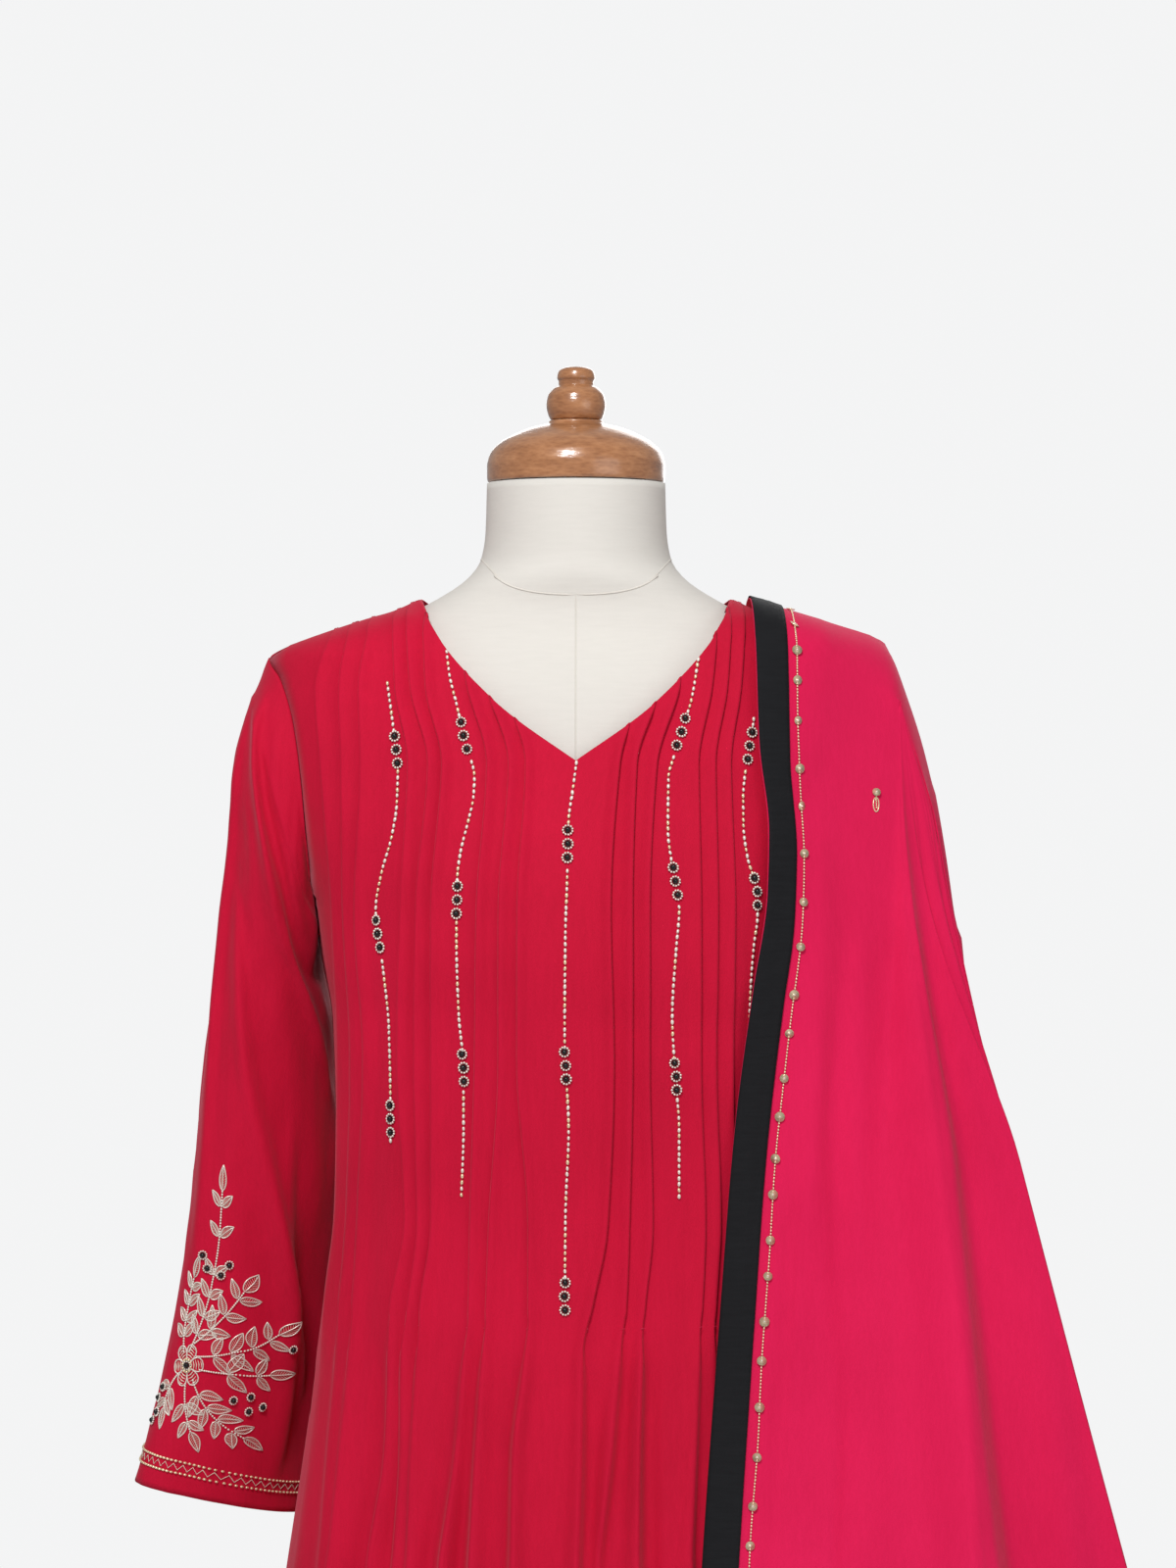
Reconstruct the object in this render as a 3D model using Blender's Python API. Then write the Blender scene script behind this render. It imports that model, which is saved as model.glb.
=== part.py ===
"""A salwar kameez suit with its dupatta on a limbless dress form.

Metres, +Z up, the garment faces -Y, origin at the centre of the base's underside.
Every cloth piece is a wall between an outer grid of points and the same grid moved inwards.
"""

import math

import bmesh
import bpy
from mathutils import Vector

# ---------------------------------------------------------------- driving sizes
CLOTH = 0.0012  # wall of every cloth piece
SEAM = 0.0004  # gap between two pieces at a seam
MOST_CREASE = 2.5  # how far a sharp crease may thicken the wall there
ROUNDNESS = 2.3  # exponent of the body's cross-section, 2 is an ellipse
OVAL = 0.87  # power that makes a circle's points a slightly squarer oval
NECK_HALF = 0.1056  # half width of the neckline at the shoulder seam
UNDERARM = 1.225
HEM = 0.31
TUCK_END = 0.951  # the pin tucks are stitched down to here
TUCK_HEIGHT = 0.0022

FORM_BOTTOM = 0.80
NECK_TOP = 1.503
POLE_RADIUS = 0.016
BASE_RADIUS = 0.20
BASE_THICK = 0.012
BOSS_TOP = 0.045

DUPATTA_WIDTH = 0.90
DUPATTA_FRONT = 1.10  # length in front of the shoulder
DUPATTA_BACK = 1.15
BORDER_WIDTH = 0.0225
RIBBON = 0.0010  # wall of the border
SHOULDER_BAND = 0.102  # width of the dupatta that lies on the shoulder
DRAPE_CLEAR = 0.007
LIFT = 0.006

# height, half width, front depth, back depth
FORM = (
    (1.503, 0.0600, 0.060, 0.060),
    (1.470, 0.0610, 0.061, 0.062),
    (1.452, 0.0640, 0.062, 0.064),
    (1.440, 0.0720, 0.064, 0.067),
    (1.4215, 0.1000, 0.061, 0.064),
    (1.405, 0.1370, 0.064, 0.067),
    (1.394, 0.1660, 0.070, 0.072),
    (1.382, 0.1870, 0.078, 0.080),
    (1.366, 0.1940, 0.087, 0.086),
    (1.340, 0.1920, 0.096, 0.093),
    (1.280, 0.1800, 0.113, 0.101),
    (1.200, 0.1640, 0.130, 0.099),
    (1.130, 0.1520, 0.120, 0.096),
    (1.050, 0.1420, 0.102, 0.095),
    (0.950, 0.1520, 0.106, 0.110),
    (0.860, 0.1600, 0.112, 0.122),
    (0.800, 0.1590, 0.110, 0.120),
)
# height, half width, front depth, back depth
KAMEEZ = (
    (1.4250, 0.1056, 0.071, 0.075),
    (1.4170, 0.1234, 0.073, 0.077),
    (1.4120, 0.1406, 0.077, 0.079),
    (1.4020, 0.1710, 0.084, 0.084),
    (1.3930, 0.1950, 0.088, 0.089),
    (1.3860, 0.2060, 0.092, 0.092),
    (1.3600, 0.2085, 0.101, 0.099),
    (1.3400, 0.2070, 0.106, 0.102),
    (1.3000, 0.1990, 0.117, 0.106),
    (1.2640, 0.1880, 0.128, 0.107),
    (1.2250, 0.1775, 0.136, 0.106),
    (1.1850, 0.1715, 0.140, 0.105),
    (1.1430, 0.1640, 0.138, 0.107),
    (1.0370, 0.1610, 0.134, 0.117),
    (0.9660, 0.1690, 0.136, 0.131),
    (0.8800, 0.1790, 0.142, 0.144),
    (0.7730, 0.1950, 0.150, 0.155),
    (0.6500, 0.2130, 0.158, 0.163),
    (0.5000, 0.2330, 0.168, 0.173),
    (0.3100, 0.2550, 0.180, 0.185),
)
# height, half width of the front, half width of the back
ARMHOLE = (
    (1.4250, 0.2060, 0.2060),
    (1.3860, 0.2060, 0.2060),
    (1.3700, 0.1960, 0.2000),
    (1.3400, 0.1865, 0.1930),
    (1.3000, 0.1810, 0.1870),
    (1.2620, 0.1780, 0.1820),
    (1.2400, 0.1765, 0.1785),
    (1.2250, 0.1775, 0.1775),
)
# distance from the centre, height of the front neckline there
NECKLINE = (
    (0.0000, 1.3156),
    (0.0439, 1.3468),
    (0.0645, 1.3660),
    (0.0864, 1.3910),
    (0.1056, 1.4250),
)
# distance from the centre, height of the back neckline there
BACK_NECKLINE = (
    (0.0000, 1.4020),
    (0.0500, 1.4060),
    (0.0850, 1.4140),
    (0.1056, 1.4250),
)
# heights at which the next table gives each tuck's place
TUCK_LEVELS = (1.400, 1.364, 1.314, 1.219, 1.122, 1.017, 0.964, 0.932, 0.869, 0.806)
# name, the fold's depth at the hem, then its distance from the centre line at each level
TUCKS = (
    ("side_outer", 0.009, -0.161, -0.170, -0.166, -0.158, -0.155, -0.157, -0.163, -0.167, -0.174, -0.182),
    ("side_middle", 0.007, -0.149, -0.154, -0.152, -0.150, -0.145, -0.148, -0.152, -0.155, -0.161, -0.167),
    ("side_inner", 0.012, -0.136, -0.141, -0.139, -0.142, -0.136, -0.140, -0.143, -0.145, -0.150, -0.155),
    ("chest_outer", 0.014, -0.119, -0.117, -0.108, -0.112, -0.114, -0.109, -0.118, -0.120, -0.122, -0.130),
    ("chest_middle", 0.012, -0.110, -0.107, -0.095, -0.102, -0.103, -0.101, -0.107, -0.111, -0.112, -0.116),
    ("chest_inner", 0.007, -0.099, -0.097, -0.086, -0.092, -0.092, -0.092, -0.099, -0.101, -0.104, -0.106),
    ("neck_outer", 0.009, -0.077, -0.070, -0.057, -0.063, -0.064, -0.067, -0.068, -0.071, -0.076, -0.085),
    ("neck_middle", 0.012, -0.068, -0.058, -0.043, -0.049, -0.049, -0.055, -0.057, -0.059, -0.063, -0.066),
    ("neck_inner", 0.013, -0.056, -0.047, -0.032, -0.037, -0.037, -0.030, -0.030, -0.032, -0.039, -0.040),
    ("neck_inner_left", 0.012, 0.048, 0.042, 0.028, 0.022, 0.024, 0.020, 0.010, 0.004, 0.003, 0.001),
    ("neck_middle_left", 0.009, 0.062, 0.055, 0.039, 0.036, 0.036, 0.034, 0.032, 0.028, 0.022, 0.014),
    ("neck_outer_left", 0.014, 0.073, 0.067, 0.052, 0.047, 0.047, 0.049, 0.044, 0.042, 0.040, 0.039),
    ("chest_inner_left", 0.008, 0.092, 0.088, 0.079, 0.080, 0.080, 0.083, 0.081, 0.079, 0.076, 0.073),
    ("chest_middle_left", 0.010, 0.101, 0.098, 0.090, 0.091, 0.090, 0.093, 0.090, 0.089, 0.088, 0.086),
    ("chest_outer_left", 0.012, 0.110, 0.107, 0.100, 0.102, 0.101, 0.103, 0.101, 0.100, 0.100, 0.099),
    ("side_inner_left", 0.010, 0.136, 0.140, 0.138, 0.141, 0.136, 0.139, 0.142, 0.145, 0.149, 0.154),
    ("side_outer_left", 0.009, 0.160, 0.169, 0.165, 0.158, 0.155, 0.157, 0.162, 0.166, 0.173, 0.180),
)
# angle round the back from its middle in degrees, depth at the waist, depth at the hem
BACK_FOLDS = (
    (-62.0, 0.002, 0.011),
    (-38.0, 0.003, 0.014),
    (-14.0, 0.003, 0.010),
    (9.0, 0.004, 0.015),
    (33.0, 0.002, 0.012),
    (58.0, 0.003, 0.010),
)
# outer edge x, y, z, inner edge x, y, z, half depth; the first ring is the armhole itself
SLEEVE_RIGHT = (
    (-0.2185, 0.000, 1.360, -0.1805, 0.004, 1.213, 0.061),
    (-0.2265, 0.000, 1.322, -0.1780, 0.014, 1.198, 0.064),
    (-0.2315, 0.000, 1.270, -0.1725, 0.030, 1.172, 0.065),
    (-0.2400, 0.002, 1.205, -0.1645, 0.044, 1.132, 0.062),
    (-0.2500, 0.004, 1.110, -0.1620, 0.056, 1.060, 0.057),
    (-0.2580, 0.006, 1.030, -0.1670, 0.062, 0.990, 0.053),
    (-0.2690, 0.008, 0.960, -0.1720, 0.070, 0.925, 0.048),
    (-0.2820, 0.009, 0.895, -0.1790, 0.075, 0.860, 0.043),
    (-0.2980, 0.010, 0.832, -0.1880, 0.075, 0.801, 0.040),
)
SLEEVE_LEFT = (
    (0.2120, 0.004, 1.352, 0.1845, 0.008, 1.210, 0.057),
    (0.2180, 0.010, 1.305, 0.1880, 0.016, 1.194, 0.058),
    (0.2245, 0.014, 1.250, 0.1890, 0.018, 1.172, 0.060),
    (0.2300, 0.016, 1.200, 0.1870, 0.020, 1.148, 0.062),
    (0.2360, 0.018, 1.120, 0.1840, 0.020, 1.088, 0.063),
    (0.2400, 0.018, 1.030, 0.1840, 0.020, 1.008, 0.064),
    (0.2420, 0.018, 0.940, 0.1900, 0.020, 0.925, 0.064),
    (0.2440, 0.018, 0.832, 0.2020, 0.020, 0.820, 0.064),
)
# height, outer half width, front depth, back depth
SALWAR = (
    (0.985, 0.1560, 0.113, 0.113),
    (0.930, 0.1620, 0.118, 0.121),
    (0.860, 0.1690, 0.124, 0.130),
    (0.795, 0.1740, 0.127, 0.132),
    (0.700, 0.1760, 0.124, 0.128),
    (0.560, 0.1720, 0.114, 0.118),
    (0.400, 0.1660, 0.100, 0.104),
    (0.240, 0.1580, 0.086, 0.090),
    (0.120, 0.1480, 0.074, 0.078),
    (0.050, 0.1420, 0.068, 0.072),
)
SALWAR_TOP = 0.985
BELT_TOP = 1.012
BELT_HALF, BELT_DEEP = 0.157, 0.114
CROTCH_TOP, CROTCH_FOOT = 0.80, 0.70  # the centre seam closes into two inseams between these
ANKLE = 0.05
CROTCH_X = -0.026  # the centre seam stands beside the pole
# direction of the dupatta's folds below the shoulder: angle in the flat cloth, x, y for each metre down
FRONT_FAN = (
    (-90.0, -0.050, -0.185),
    (-81.5, 0.092, -0.228),
    (-76.0, 0.118, -0.150),
    (-67.5, 0.258, -0.125),
    (-55.0, 0.085, -0.110),
    (-46.0, 0.250, -0.085),
    (-36.0, 0.088, -0.075),
    (-26.0, 0.248, -0.052),
    (-16.0, 0.100, -0.040),
    (-7.0, 0.242, -0.020),
    (0.0, 0.145, 0.000),
)
BACK_FAN = (
    (90.0, -0.060, 0.200),
    (81.0, 0.020, 0.270),
    (72.0, 0.005, 0.130),
    (60.0, 0.130, 0.270),
    (49.0, 0.050, 0.110),
    (38.0, 0.215, 0.205),
    (28.0, 0.075, 0.080),
    (17.5, 0.252, 0.110),
    (8.0, 0.100, 0.035),
    (0.0, 0.145, 0.000),
)
# where the dupatta leaves the shoulder, in front and behind
FRONT_CORNER = Vector((0.2145, -0.050, 1.356))
BACK_CORNER = Vector((0.2145, 0.078, 1.352))
# height, distance of the dupatta's neck edge from the centre line
NECK_EDGE = (
    (1.430, 0.1160),
    (1.390, 0.1175),
    (1.330, 0.1190),
    (1.270, 0.1250),
    (1.230, 0.1240),
    (1.170, 0.1150),
    (1.080, 0.1030),
    (0.960, 0.0930),
    (0.770, 0.0790),
    (0.300, 0.0560),
)
BACK_NECK_EDGE = (
    (1.430, 0.1160),
    (1.300, 0.1120),
    (1.100, 0.1000),
    (0.770, 0.0850),
    (0.250, 0.0600),
)


# ---------------------------------------------------------------- small helpers
def clear_scene():
    for obj in list(bpy.data.objects):
        bpy.data.objects.remove(obj, do_unlink=True)


def material(name, color, roughness, metallic=0.0):
    made = bpy.data.materials.new(name)
    made.use_nodes = True
    shader = made.node_tree.nodes["Principled BSDF"]
    shader.inputs["Base Color"].default_value = (*color, 1.0)
    shader.inputs["Roughness"].default_value = roughness
    shader.inputs["Metallic"].default_value = metallic
    return made


def smooth(t):
    t = min(1.0, max(0.0, t))
    return t * t * (3 - 2 * t)


def read(table, key, column=1):
    """A table's column at a key, on a curve that never overshoots its rows."""
    rows = sorted(table, key=lambda row: row[0])
    if key <= rows[0][0]:
        return rows[0][column]
    if key >= rows[-1][0]:
        return rows[-1][column]
    at = next(i for i in range(1, len(rows)) if key <= rows[i][0])

    def slope(i):
        if i == 0 or i == len(rows) - 1:
            near = 1 if i == 0 else i
            return (rows[near][column] - rows[near - 1][column]) / (rows[near][0] - rows[near - 1][0])
        before = (rows[i][column] - rows[i - 1][column]) / (rows[i][0] - rows[i - 1][0])
        after = (rows[i + 1][column] - rows[i][column]) / (rows[i + 1][0] - rows[i][0])
        return 0.0 if before * after <= 0 else 2 * before * after / (before + after)

    low, high = rows[at - 1], rows[at]
    width = high[0] - low[0]
    t = (key - low[0]) / width
    return (
        low[column] * (1 + 2 * t) * (1 - t) ** 2
        + slope(at - 1) * width * t * (1 - t) ** 2
        + high[column] * t * t * (3 - 2 * t)
        + slope(at) * width * t * t * (t - 1)
    )


def depth_at(table, x, z, front):
    """How far the section at a height reaches forwards or backwards at x."""
    half = read(table, z, 1)
    share = 1 - min(1.0, abs(x) / half) ** ROUNDNESS
    return read(table, z, 2 if front else 3) * share ** (1 / ROUNDNESS)


def finish(name, bm, surface, smooth_angle=50.0):
    mesh = bpy.data.meshes.new(name)
    bm.to_mesh(mesh)
    bm.free()
    obj = bpy.data.objects.new(name, mesh)
    obj.data.materials.append(surface)
    bpy.context.scene.collection.objects.link(obj)
    mesh.shade_smooth()
    mesh.set_sharp_from_angle(angle=math.radians(smooth_angle))
    return obj


def grid(bm, columns, rows, place):
    """A grid of faces whose points are place(column, row)."""
    made = bmesh.ops.create_grid(bm, x_segments=columns - 1, y_segments=rows - 1, size=0.5)
    for vert in made["verts"]:
        column = round((vert.co.x + 0.5) * (columns - 1))
        row = round((vert.co.y + 0.5) * (rows - 1))
        vert.co = place(column, row)
    return made["verts"]


def face_out(bm, outward):
    """Joins the grids' shared edges and turns every face to the side that outward(point) shows."""
    bmesh.ops.remove_doubles(bm, verts=bm.verts, dist=0.00005)
    bmesh.ops.recalc_face_normals(bm, faces=bm.faces)
    bm.normal_update()
    lean = sum(face.normal.dot(outward(face.calc_center_median())) * face.calc_area() for face in bm.faces)
    if lean < 0:
        bmesh.ops.reverse_faces(bm, faces=bm.faces)
        bm.normal_update()


def wall(bm, outward, flat=None, thick=CLOTH):
    """Thickens an open sheet away from the side that outward(point) shows.

    flat(point) may give the axis along which a point at a seam doesn't move.
    """
    bmesh.ops.triangulate(bm, faces=bm.faces, quad_method="SHORT_EDGE")
    face_out(bm, outward)
    sheet = list(bm.faces)
    rim = [edge for edge in bm.edges if edge.is_boundary]
    inner = {}
    for vert in list(bm.verts):
        way = vert.normal.copy()
        axis = flat(vert.co) if flat else None
        if axis is not None:
            way[axis] = 0.0
            way = way.normalized() if way.length > 0.01 else vert.normal.copy()
        reach = thick * min(vert.calc_shell_factor(), MOST_CREASE)
        inner[vert] = bm.verts.new(vert.co - way * reach)
    for face in sheet:
        bm.faces.new([inner[vert] for vert in reversed(face.verts)])
    for edge in rim:
        start = edge.link_loops[0].vert
        end = edge.other_vert(start)
        bm.faces.new([end, start, inner[start], inner[end]])


# ---------------------------------------------------------------- dress form and stand
def loft(name, rings, surface):
    """A closed solid through rings of equal count, listed from the top down."""
    bm = bmesh.new()
    loops = [[bm.verts.new(point) for point in ring] for ring in rings]
    for above, below in zip(loops, loops[1:]):
        for i, vert in enumerate(above):
            j = (i + 1) % len(above)
            bm.faces.new((vert, above[j], below[j], below[i]))
    bm.faces.new(loops[0])
    bm.faces.new(list(reversed(loops[-1])))
    bmesh.ops.recalc_face_normals(bm, faces=bm.faces)
    return finish(name, bm, surface)


def turned(name, profile, surface, steps=40):
    """A solid turned about the Z axis from (radius, height) pairs, top to bottom."""
    rings = []
    for radius, height in profile:
        ring = []
        for i in range(steps):
            turn = 2 * math.pi * i / steps
            ring.append((radius * math.cos(turn), radius * math.sin(turn), height))
        rings.append(ring)
    return loft(name, rings, surface)


def form_ring(z, count=36):
    half, front, back = (read(FORM, z, column) for column in (1, 2, 3))
    power = 2 / (ROUNDNESS if z < 1.44 else 2.0 + (ROUNDNESS - 2.0) * smooth((1.452 - z) / 0.03))
    ring = []
    for i in range(count):
        turn = 2 * math.pi * i / count
        across, along = math.sin(turn), math.cos(turn)
        x = half * math.copysign(abs(across) ** power, across)
        y = (front if along > 0 else back) * -math.copysign(abs(along) ** power, along)
        ring.append((x, y, z))
    return ring


def make_form(linen, wood, steel):
    heights = [row[0] for row in FORM]
    more = [1.446, 1.4315, 1.4140, 1.3995, 1.3880, 1.3750, 1.3540, 1.3100]
    more += [1.2400, 1.1650, 1.0900, 1.0000, 0.9050, 0.8250]
    loft("form_torso", [form_ring(z) for z in sorted(heights + more, reverse=True)], linen)
    dome = [(0.0585, 0.0010), (0.0600, 0.0040), (0.0600, 0.0120), (0.0580, 0.0200)]
    dome += [(0.0520, 0.0270), (0.0420, 0.0330), (0.0300, 0.0378), (0.0190, 0.0405)]
    dome += [(0.0175, 0.0425)]
    turned("neck_cap", [(r, NECK_TOP + h) for r, h in reversed(dome)], wood)
    foot = NECK_TOP + 0.0428
    ball = [(0.0160, 0.0), (0.0185, 0.0030), (0.0200, 0.0100), (0.0190, 0.0165), (0.0150, 0.0215)]
    ball += [(0.0118, 0.0235), (0.0118, 0.0262), (0.0128, 0.0285), (0.0118, 0.0330), (0.0060, 0.0358)]
    turned("finial", [(r, foot + h) for r, h in reversed(ball)], wood)
    turned("pole", [(POLE_RADIUS, FORM_BOTTOM - SEAM), (POLE_RADIUS, BOSS_TOP + SEAM)], steel, 24)
    boss = [(0.020, BOSS_TOP), (0.024, BOSS_TOP - 0.004)]
    boss += [(0.034, BASE_THICK + 0.004), (0.038, BASE_THICK + SEAM)]
    turned("base_boss", boss, steel)
    plate = [(BASE_RADIUS - 0.004, BASE_THICK), (BASE_RADIUS, BASE_THICK - 0.004), (BASE_RADIUS, 0.0)]
    turned("base_plate", plate, steel, 56)


# ---------------------------------------------------------------- kameez
def tuck_places(tuck):
    return tuple(zip(TUCK_LEVELS, tuck[2:]))


def tuck_x(tuck, z):
    lowest = TUCK_LEVELS[-1]
    if z >= lowest:
        return read(tuck_places(tuck), z)
    return tuck[-1] * read(KAMEEZ, z) / read(KAMEEZ, lowest)


def panel_half(z, front):
    if z >= UNDERARM:
        return read(ARMHOLE, z, 1 if front else 2)
    return read(KAMEEZ, z)


def seam_height(x):
    """Height of the shoulder seam at a distance from the centre line."""
    low, high = 1.386, 1.425
    for _ in range(30):
        middle = (low + high) / 2
        if read(KAMEEZ, middle) > abs(x):
            low = middle
        else:
            high = middle
    return low


def top_of(place, front):
    """Height at which a column x = place(z) meets the neckline or the shoulder seam."""
    neckline = NECKLINE if front else BACK_NECKLINE
    z = 1.40
    for _ in range(40):
        x = min(abs(place(z)), 0.206)
        goal = read(neckline, x) if x < NECK_HALF else seam_height(x)
        z += 0.5 * (goal - z)
    return z


def row_height(top, row, rows, upper):
    """Heights of a column's points: closer together near its top, level below the underarm."""
    if row <= upper:
        return top + (UNDERARM - top) * (row / upper) ** 1.6
    return UNDERARM + (HEM - UNDERARM) * (row - upper) / (rows - 1 - upper)


def skin(x, z, front, out=0.0):
    """A point on the kameez's surface at x, moved out by a fold's depth."""
    half = read(KAMEEZ, z)
    x = max(-half, min(half, x))
    deep = depth_at(KAMEEZ, x, z, front)
    reach = read(KAMEEZ, z, 2 if front else 3)
    nx = math.copysign((abs(x) / half) ** (ROUNDNESS - 1) / half, x)
    ny = (deep / reach) ** (ROUNDNESS - 1) / reach
    size = math.hypot(nx, ny)
    side = -1.0 if front else 1.0
    y = side * max(deep, SEAM / 2)
    return Vector((x + out * nx / size, y + side * out * ny / size, z))


ROWS, UPPER_ROWS = 18, 8


def front_columns():
    """For every column of the front: place(z) and depth(z)."""
    columns = []

    def edge(sign):
        return lambda z: sign * panel_half(z, True)

    def beyond(tuck, share, sign):
        return lambda z: tuck_x(tuck, z) + share * (sign * panel_half(z, True) - tuck_x(tuck, z))

    def foot(tuck, sign):
        return lambda z: tuck_x(tuck, z) + sign * (0.0012 + 0.005 * smooth((TUCK_END - z) / 0.15))

    def lip_depth(tuck):
        def depth(z):
            opened = smooth((TUCK_END - z) / 0.35)
            top = smooth((top_of(lambda q: tuck_x(tuck, q), True) - z) / 0.03)
            return top * TUCK_HEIGHT + opened * (tuck[1] * 0.75)
        return depth

    def foot_depth(tuck):
        return lambda z: -0.30 * tuck[1] * smooth((TUCK_END - z) / 0.35)

    def none(_):
        return 0.0

    left = [t for t in TUCKS if t[2] > 0]
    right = [t for t in TUCKS if t[2] < 0]
    columns.append((edge(-1), none))
    for share in (0.75, 0.45):
        columns.append((beyond(right[0], share, -1), none))
    for tuck in right:
        columns.append((foot(tuck, -1), foot_depth(tuck)))
        columns.append((lambda z, t=tuck: tuck_x(t, z), lip_depth(tuck)))
    columns.append((lambda z: 0.5 * (tuck_x(right[-1], z) + tuck_x(left[0], z)), none))
    for tuck in left:
        columns.append((lambda z, t=tuck: tuck_x(t, z), lip_depth(tuck)))
        columns.append((foot(tuck, 1), foot_depth(tuck)))
    for share in (0.45, 0.75):
        columns.append((beyond(left[-1], share, 1), none))
    columns.append((edge(1), none))
    return columns


def make_front(cloth):
    columns = front_columns()
    tops = [top_of(place, True) for place, _ in columns]
    bm = bmesh.new()

    def point(column, row):
        place, depth = columns[column]
        z = row_height(tops[column], row, ROWS, UPPER_ROWS)
        return skin(place(z), z, True, depth(z))

    grid(bm, len(columns), ROWS, point)
    wall(bm, lambda p: Vector((0, -1, 0.2)), seam_axis)
    return finish("kameez_front", bm, cloth)


def seam_axis(point):
    """Points on the shoulder and side seams keep their place along Y."""
    return 1 if abs(point.y) < SEAM else None


def back_turns():
    turns = [-90.0, -82.0]
    for angle, _, _ in BACK_FOLDS:
        turns += [angle - 9, angle]
    return turns + [75.0, 84.0, 90.0]


def back_depth(angle, z):
    deep = 0.0
    for middle, waist, hem in BACK_FOLDS:
        near = math.exp(-(((angle - middle) / 6.0) ** 2))
        deep += near * (waist * smooth((1.15 - z) / 0.2) + (hem - waist) * smooth((0.95 - z) / 0.6))
    return deep


def make_back(cloth):
    turns = back_turns()
    bm = bmesh.new()

    def place(turn):
        return lambda z: panel_half(z, False) * math.copysign(
            abs(math.sin(math.radians(turn))) ** (2 / ROUNDNESS), turn
        )

    tops = [top_of(place(turn), False) for turn in turns]

    def point(column, row):
        z = row_height(tops[column], row, ROWS, UPPER_ROWS)
        return skin(place(turns[column])(z), z, False, back_depth(turns[column], z))

    grid(bm, len(turns), ROWS, point)
    wall(bm, lambda p: Vector((0, 1, 0.2)), seam_axis)
    return finish("kameez_back", bm, cloth)


# ---------------------------------------------------------------- sleeves
def armhole_loop(sign):
    """The armhole's points, from the shoulder tip down the front and up the back."""
    loop = []
    for front in (True, False):
        top = top_of(lambda z: panel_half(z, front), front)
        side = [skin(sign * panel_half(z, front), z, front) for z in
                (row_height(top, row, ROWS, UPPER_ROWS) for row in range(UPPER_ROWS + 1))]
        loop += side[:-1] if front else list(reversed(side))[:-1]
    return loop


def sleeve_ring(row, sign, count):
    """A ring through its outer and inner edges, flattened like a hanging sleeve."""
    outer, inner, half_depth = Vector(row[0:3]), Vector(row[3:6]), row[6]
    middle, across = (outer + inner) / 2, (outer - inner) / 2
    ring = []
    for i in range(count):
        turn = 2 * math.pi * i / count
        c, s = math.cos(turn), math.sin(turn)
        along = math.copysign(abs(s) ** OVAL, -s)
        ring.append(middle + across * math.copysign(abs(c) ** OVAL, c) + Vector((0, half_depth * along, 0)))
    return ring


def sleeve_fold(turn_share, ring_share, sign):
    """Soft creases that run down the sleeve, a little slanted."""
    slant = turn_share + 0.10 * ring_share * sign
    wave = 0.6 * math.cos(2 * math.pi * (5 * slant + 0.2)) + 0.4 * math.cos(2 * math.pi * (3 * slant + 0.7))
    return 0.0035 * wave * smooth(ring_share / 0.3)


def make_sleeve(name, table, sign, cloth):
    first = armhole_loop(sign)
    count = len(first)
    out = SEAM + 0.0004
    rings = [[p + Vector((sign * out, 0, 0)) for p in first]]
    rings += [sleeve_ring(row, sign, count) for row in table]
    middles = [sum(ring, Vector()) / count for ring in rings]
    bm = bmesh.new()

    def point(column, row):
        i = column % count
        p = rings[row][i]
        away = (p - middles[row]).normalized()
        return p + away * sleeve_fold(i / count, row / (len(rings) - 1), sign)

    grid(bm, count + 1, len(rings), point)

    def outward(p):
        nearest = min(middles, key=lambda m: abs(m.z - p.z) + 0.3 * (m - p).length)
        return p - nearest

    def armhole_axis(p):
        return 0 if p.z > 1.21 and any((p - q).length < 0.0002 for q in rings[0]) else None

    wall(bm, outward, armhole_axis)
    return finish(name, bm, cloth)


# ---------------------------------------------------------------- salwar
def make_belt(cloth):
    bm = bmesh.new()
    count = 32

    def point(column, row):
        turn = 2 * math.pi * (column % count) / count
        z = SALWAR_TOP + 0.0006 if row else BELT_TOP
        c, s = math.cos(turn), math.sin(turn)
        x = BELT_HALF * math.copysign(abs(s) ** OVAL, s)
        y = -BELT_DEEP * math.copysign(abs(c) ** OVAL, c)
        return Vector((x, y, z))

    grid(bm, count + 1, 2, point)
    wall(bm, lambda p: Vector((p.x, p.y, 0)), lambda p: 2)
    return finish("salwar_belt", bm, cloth)


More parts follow.
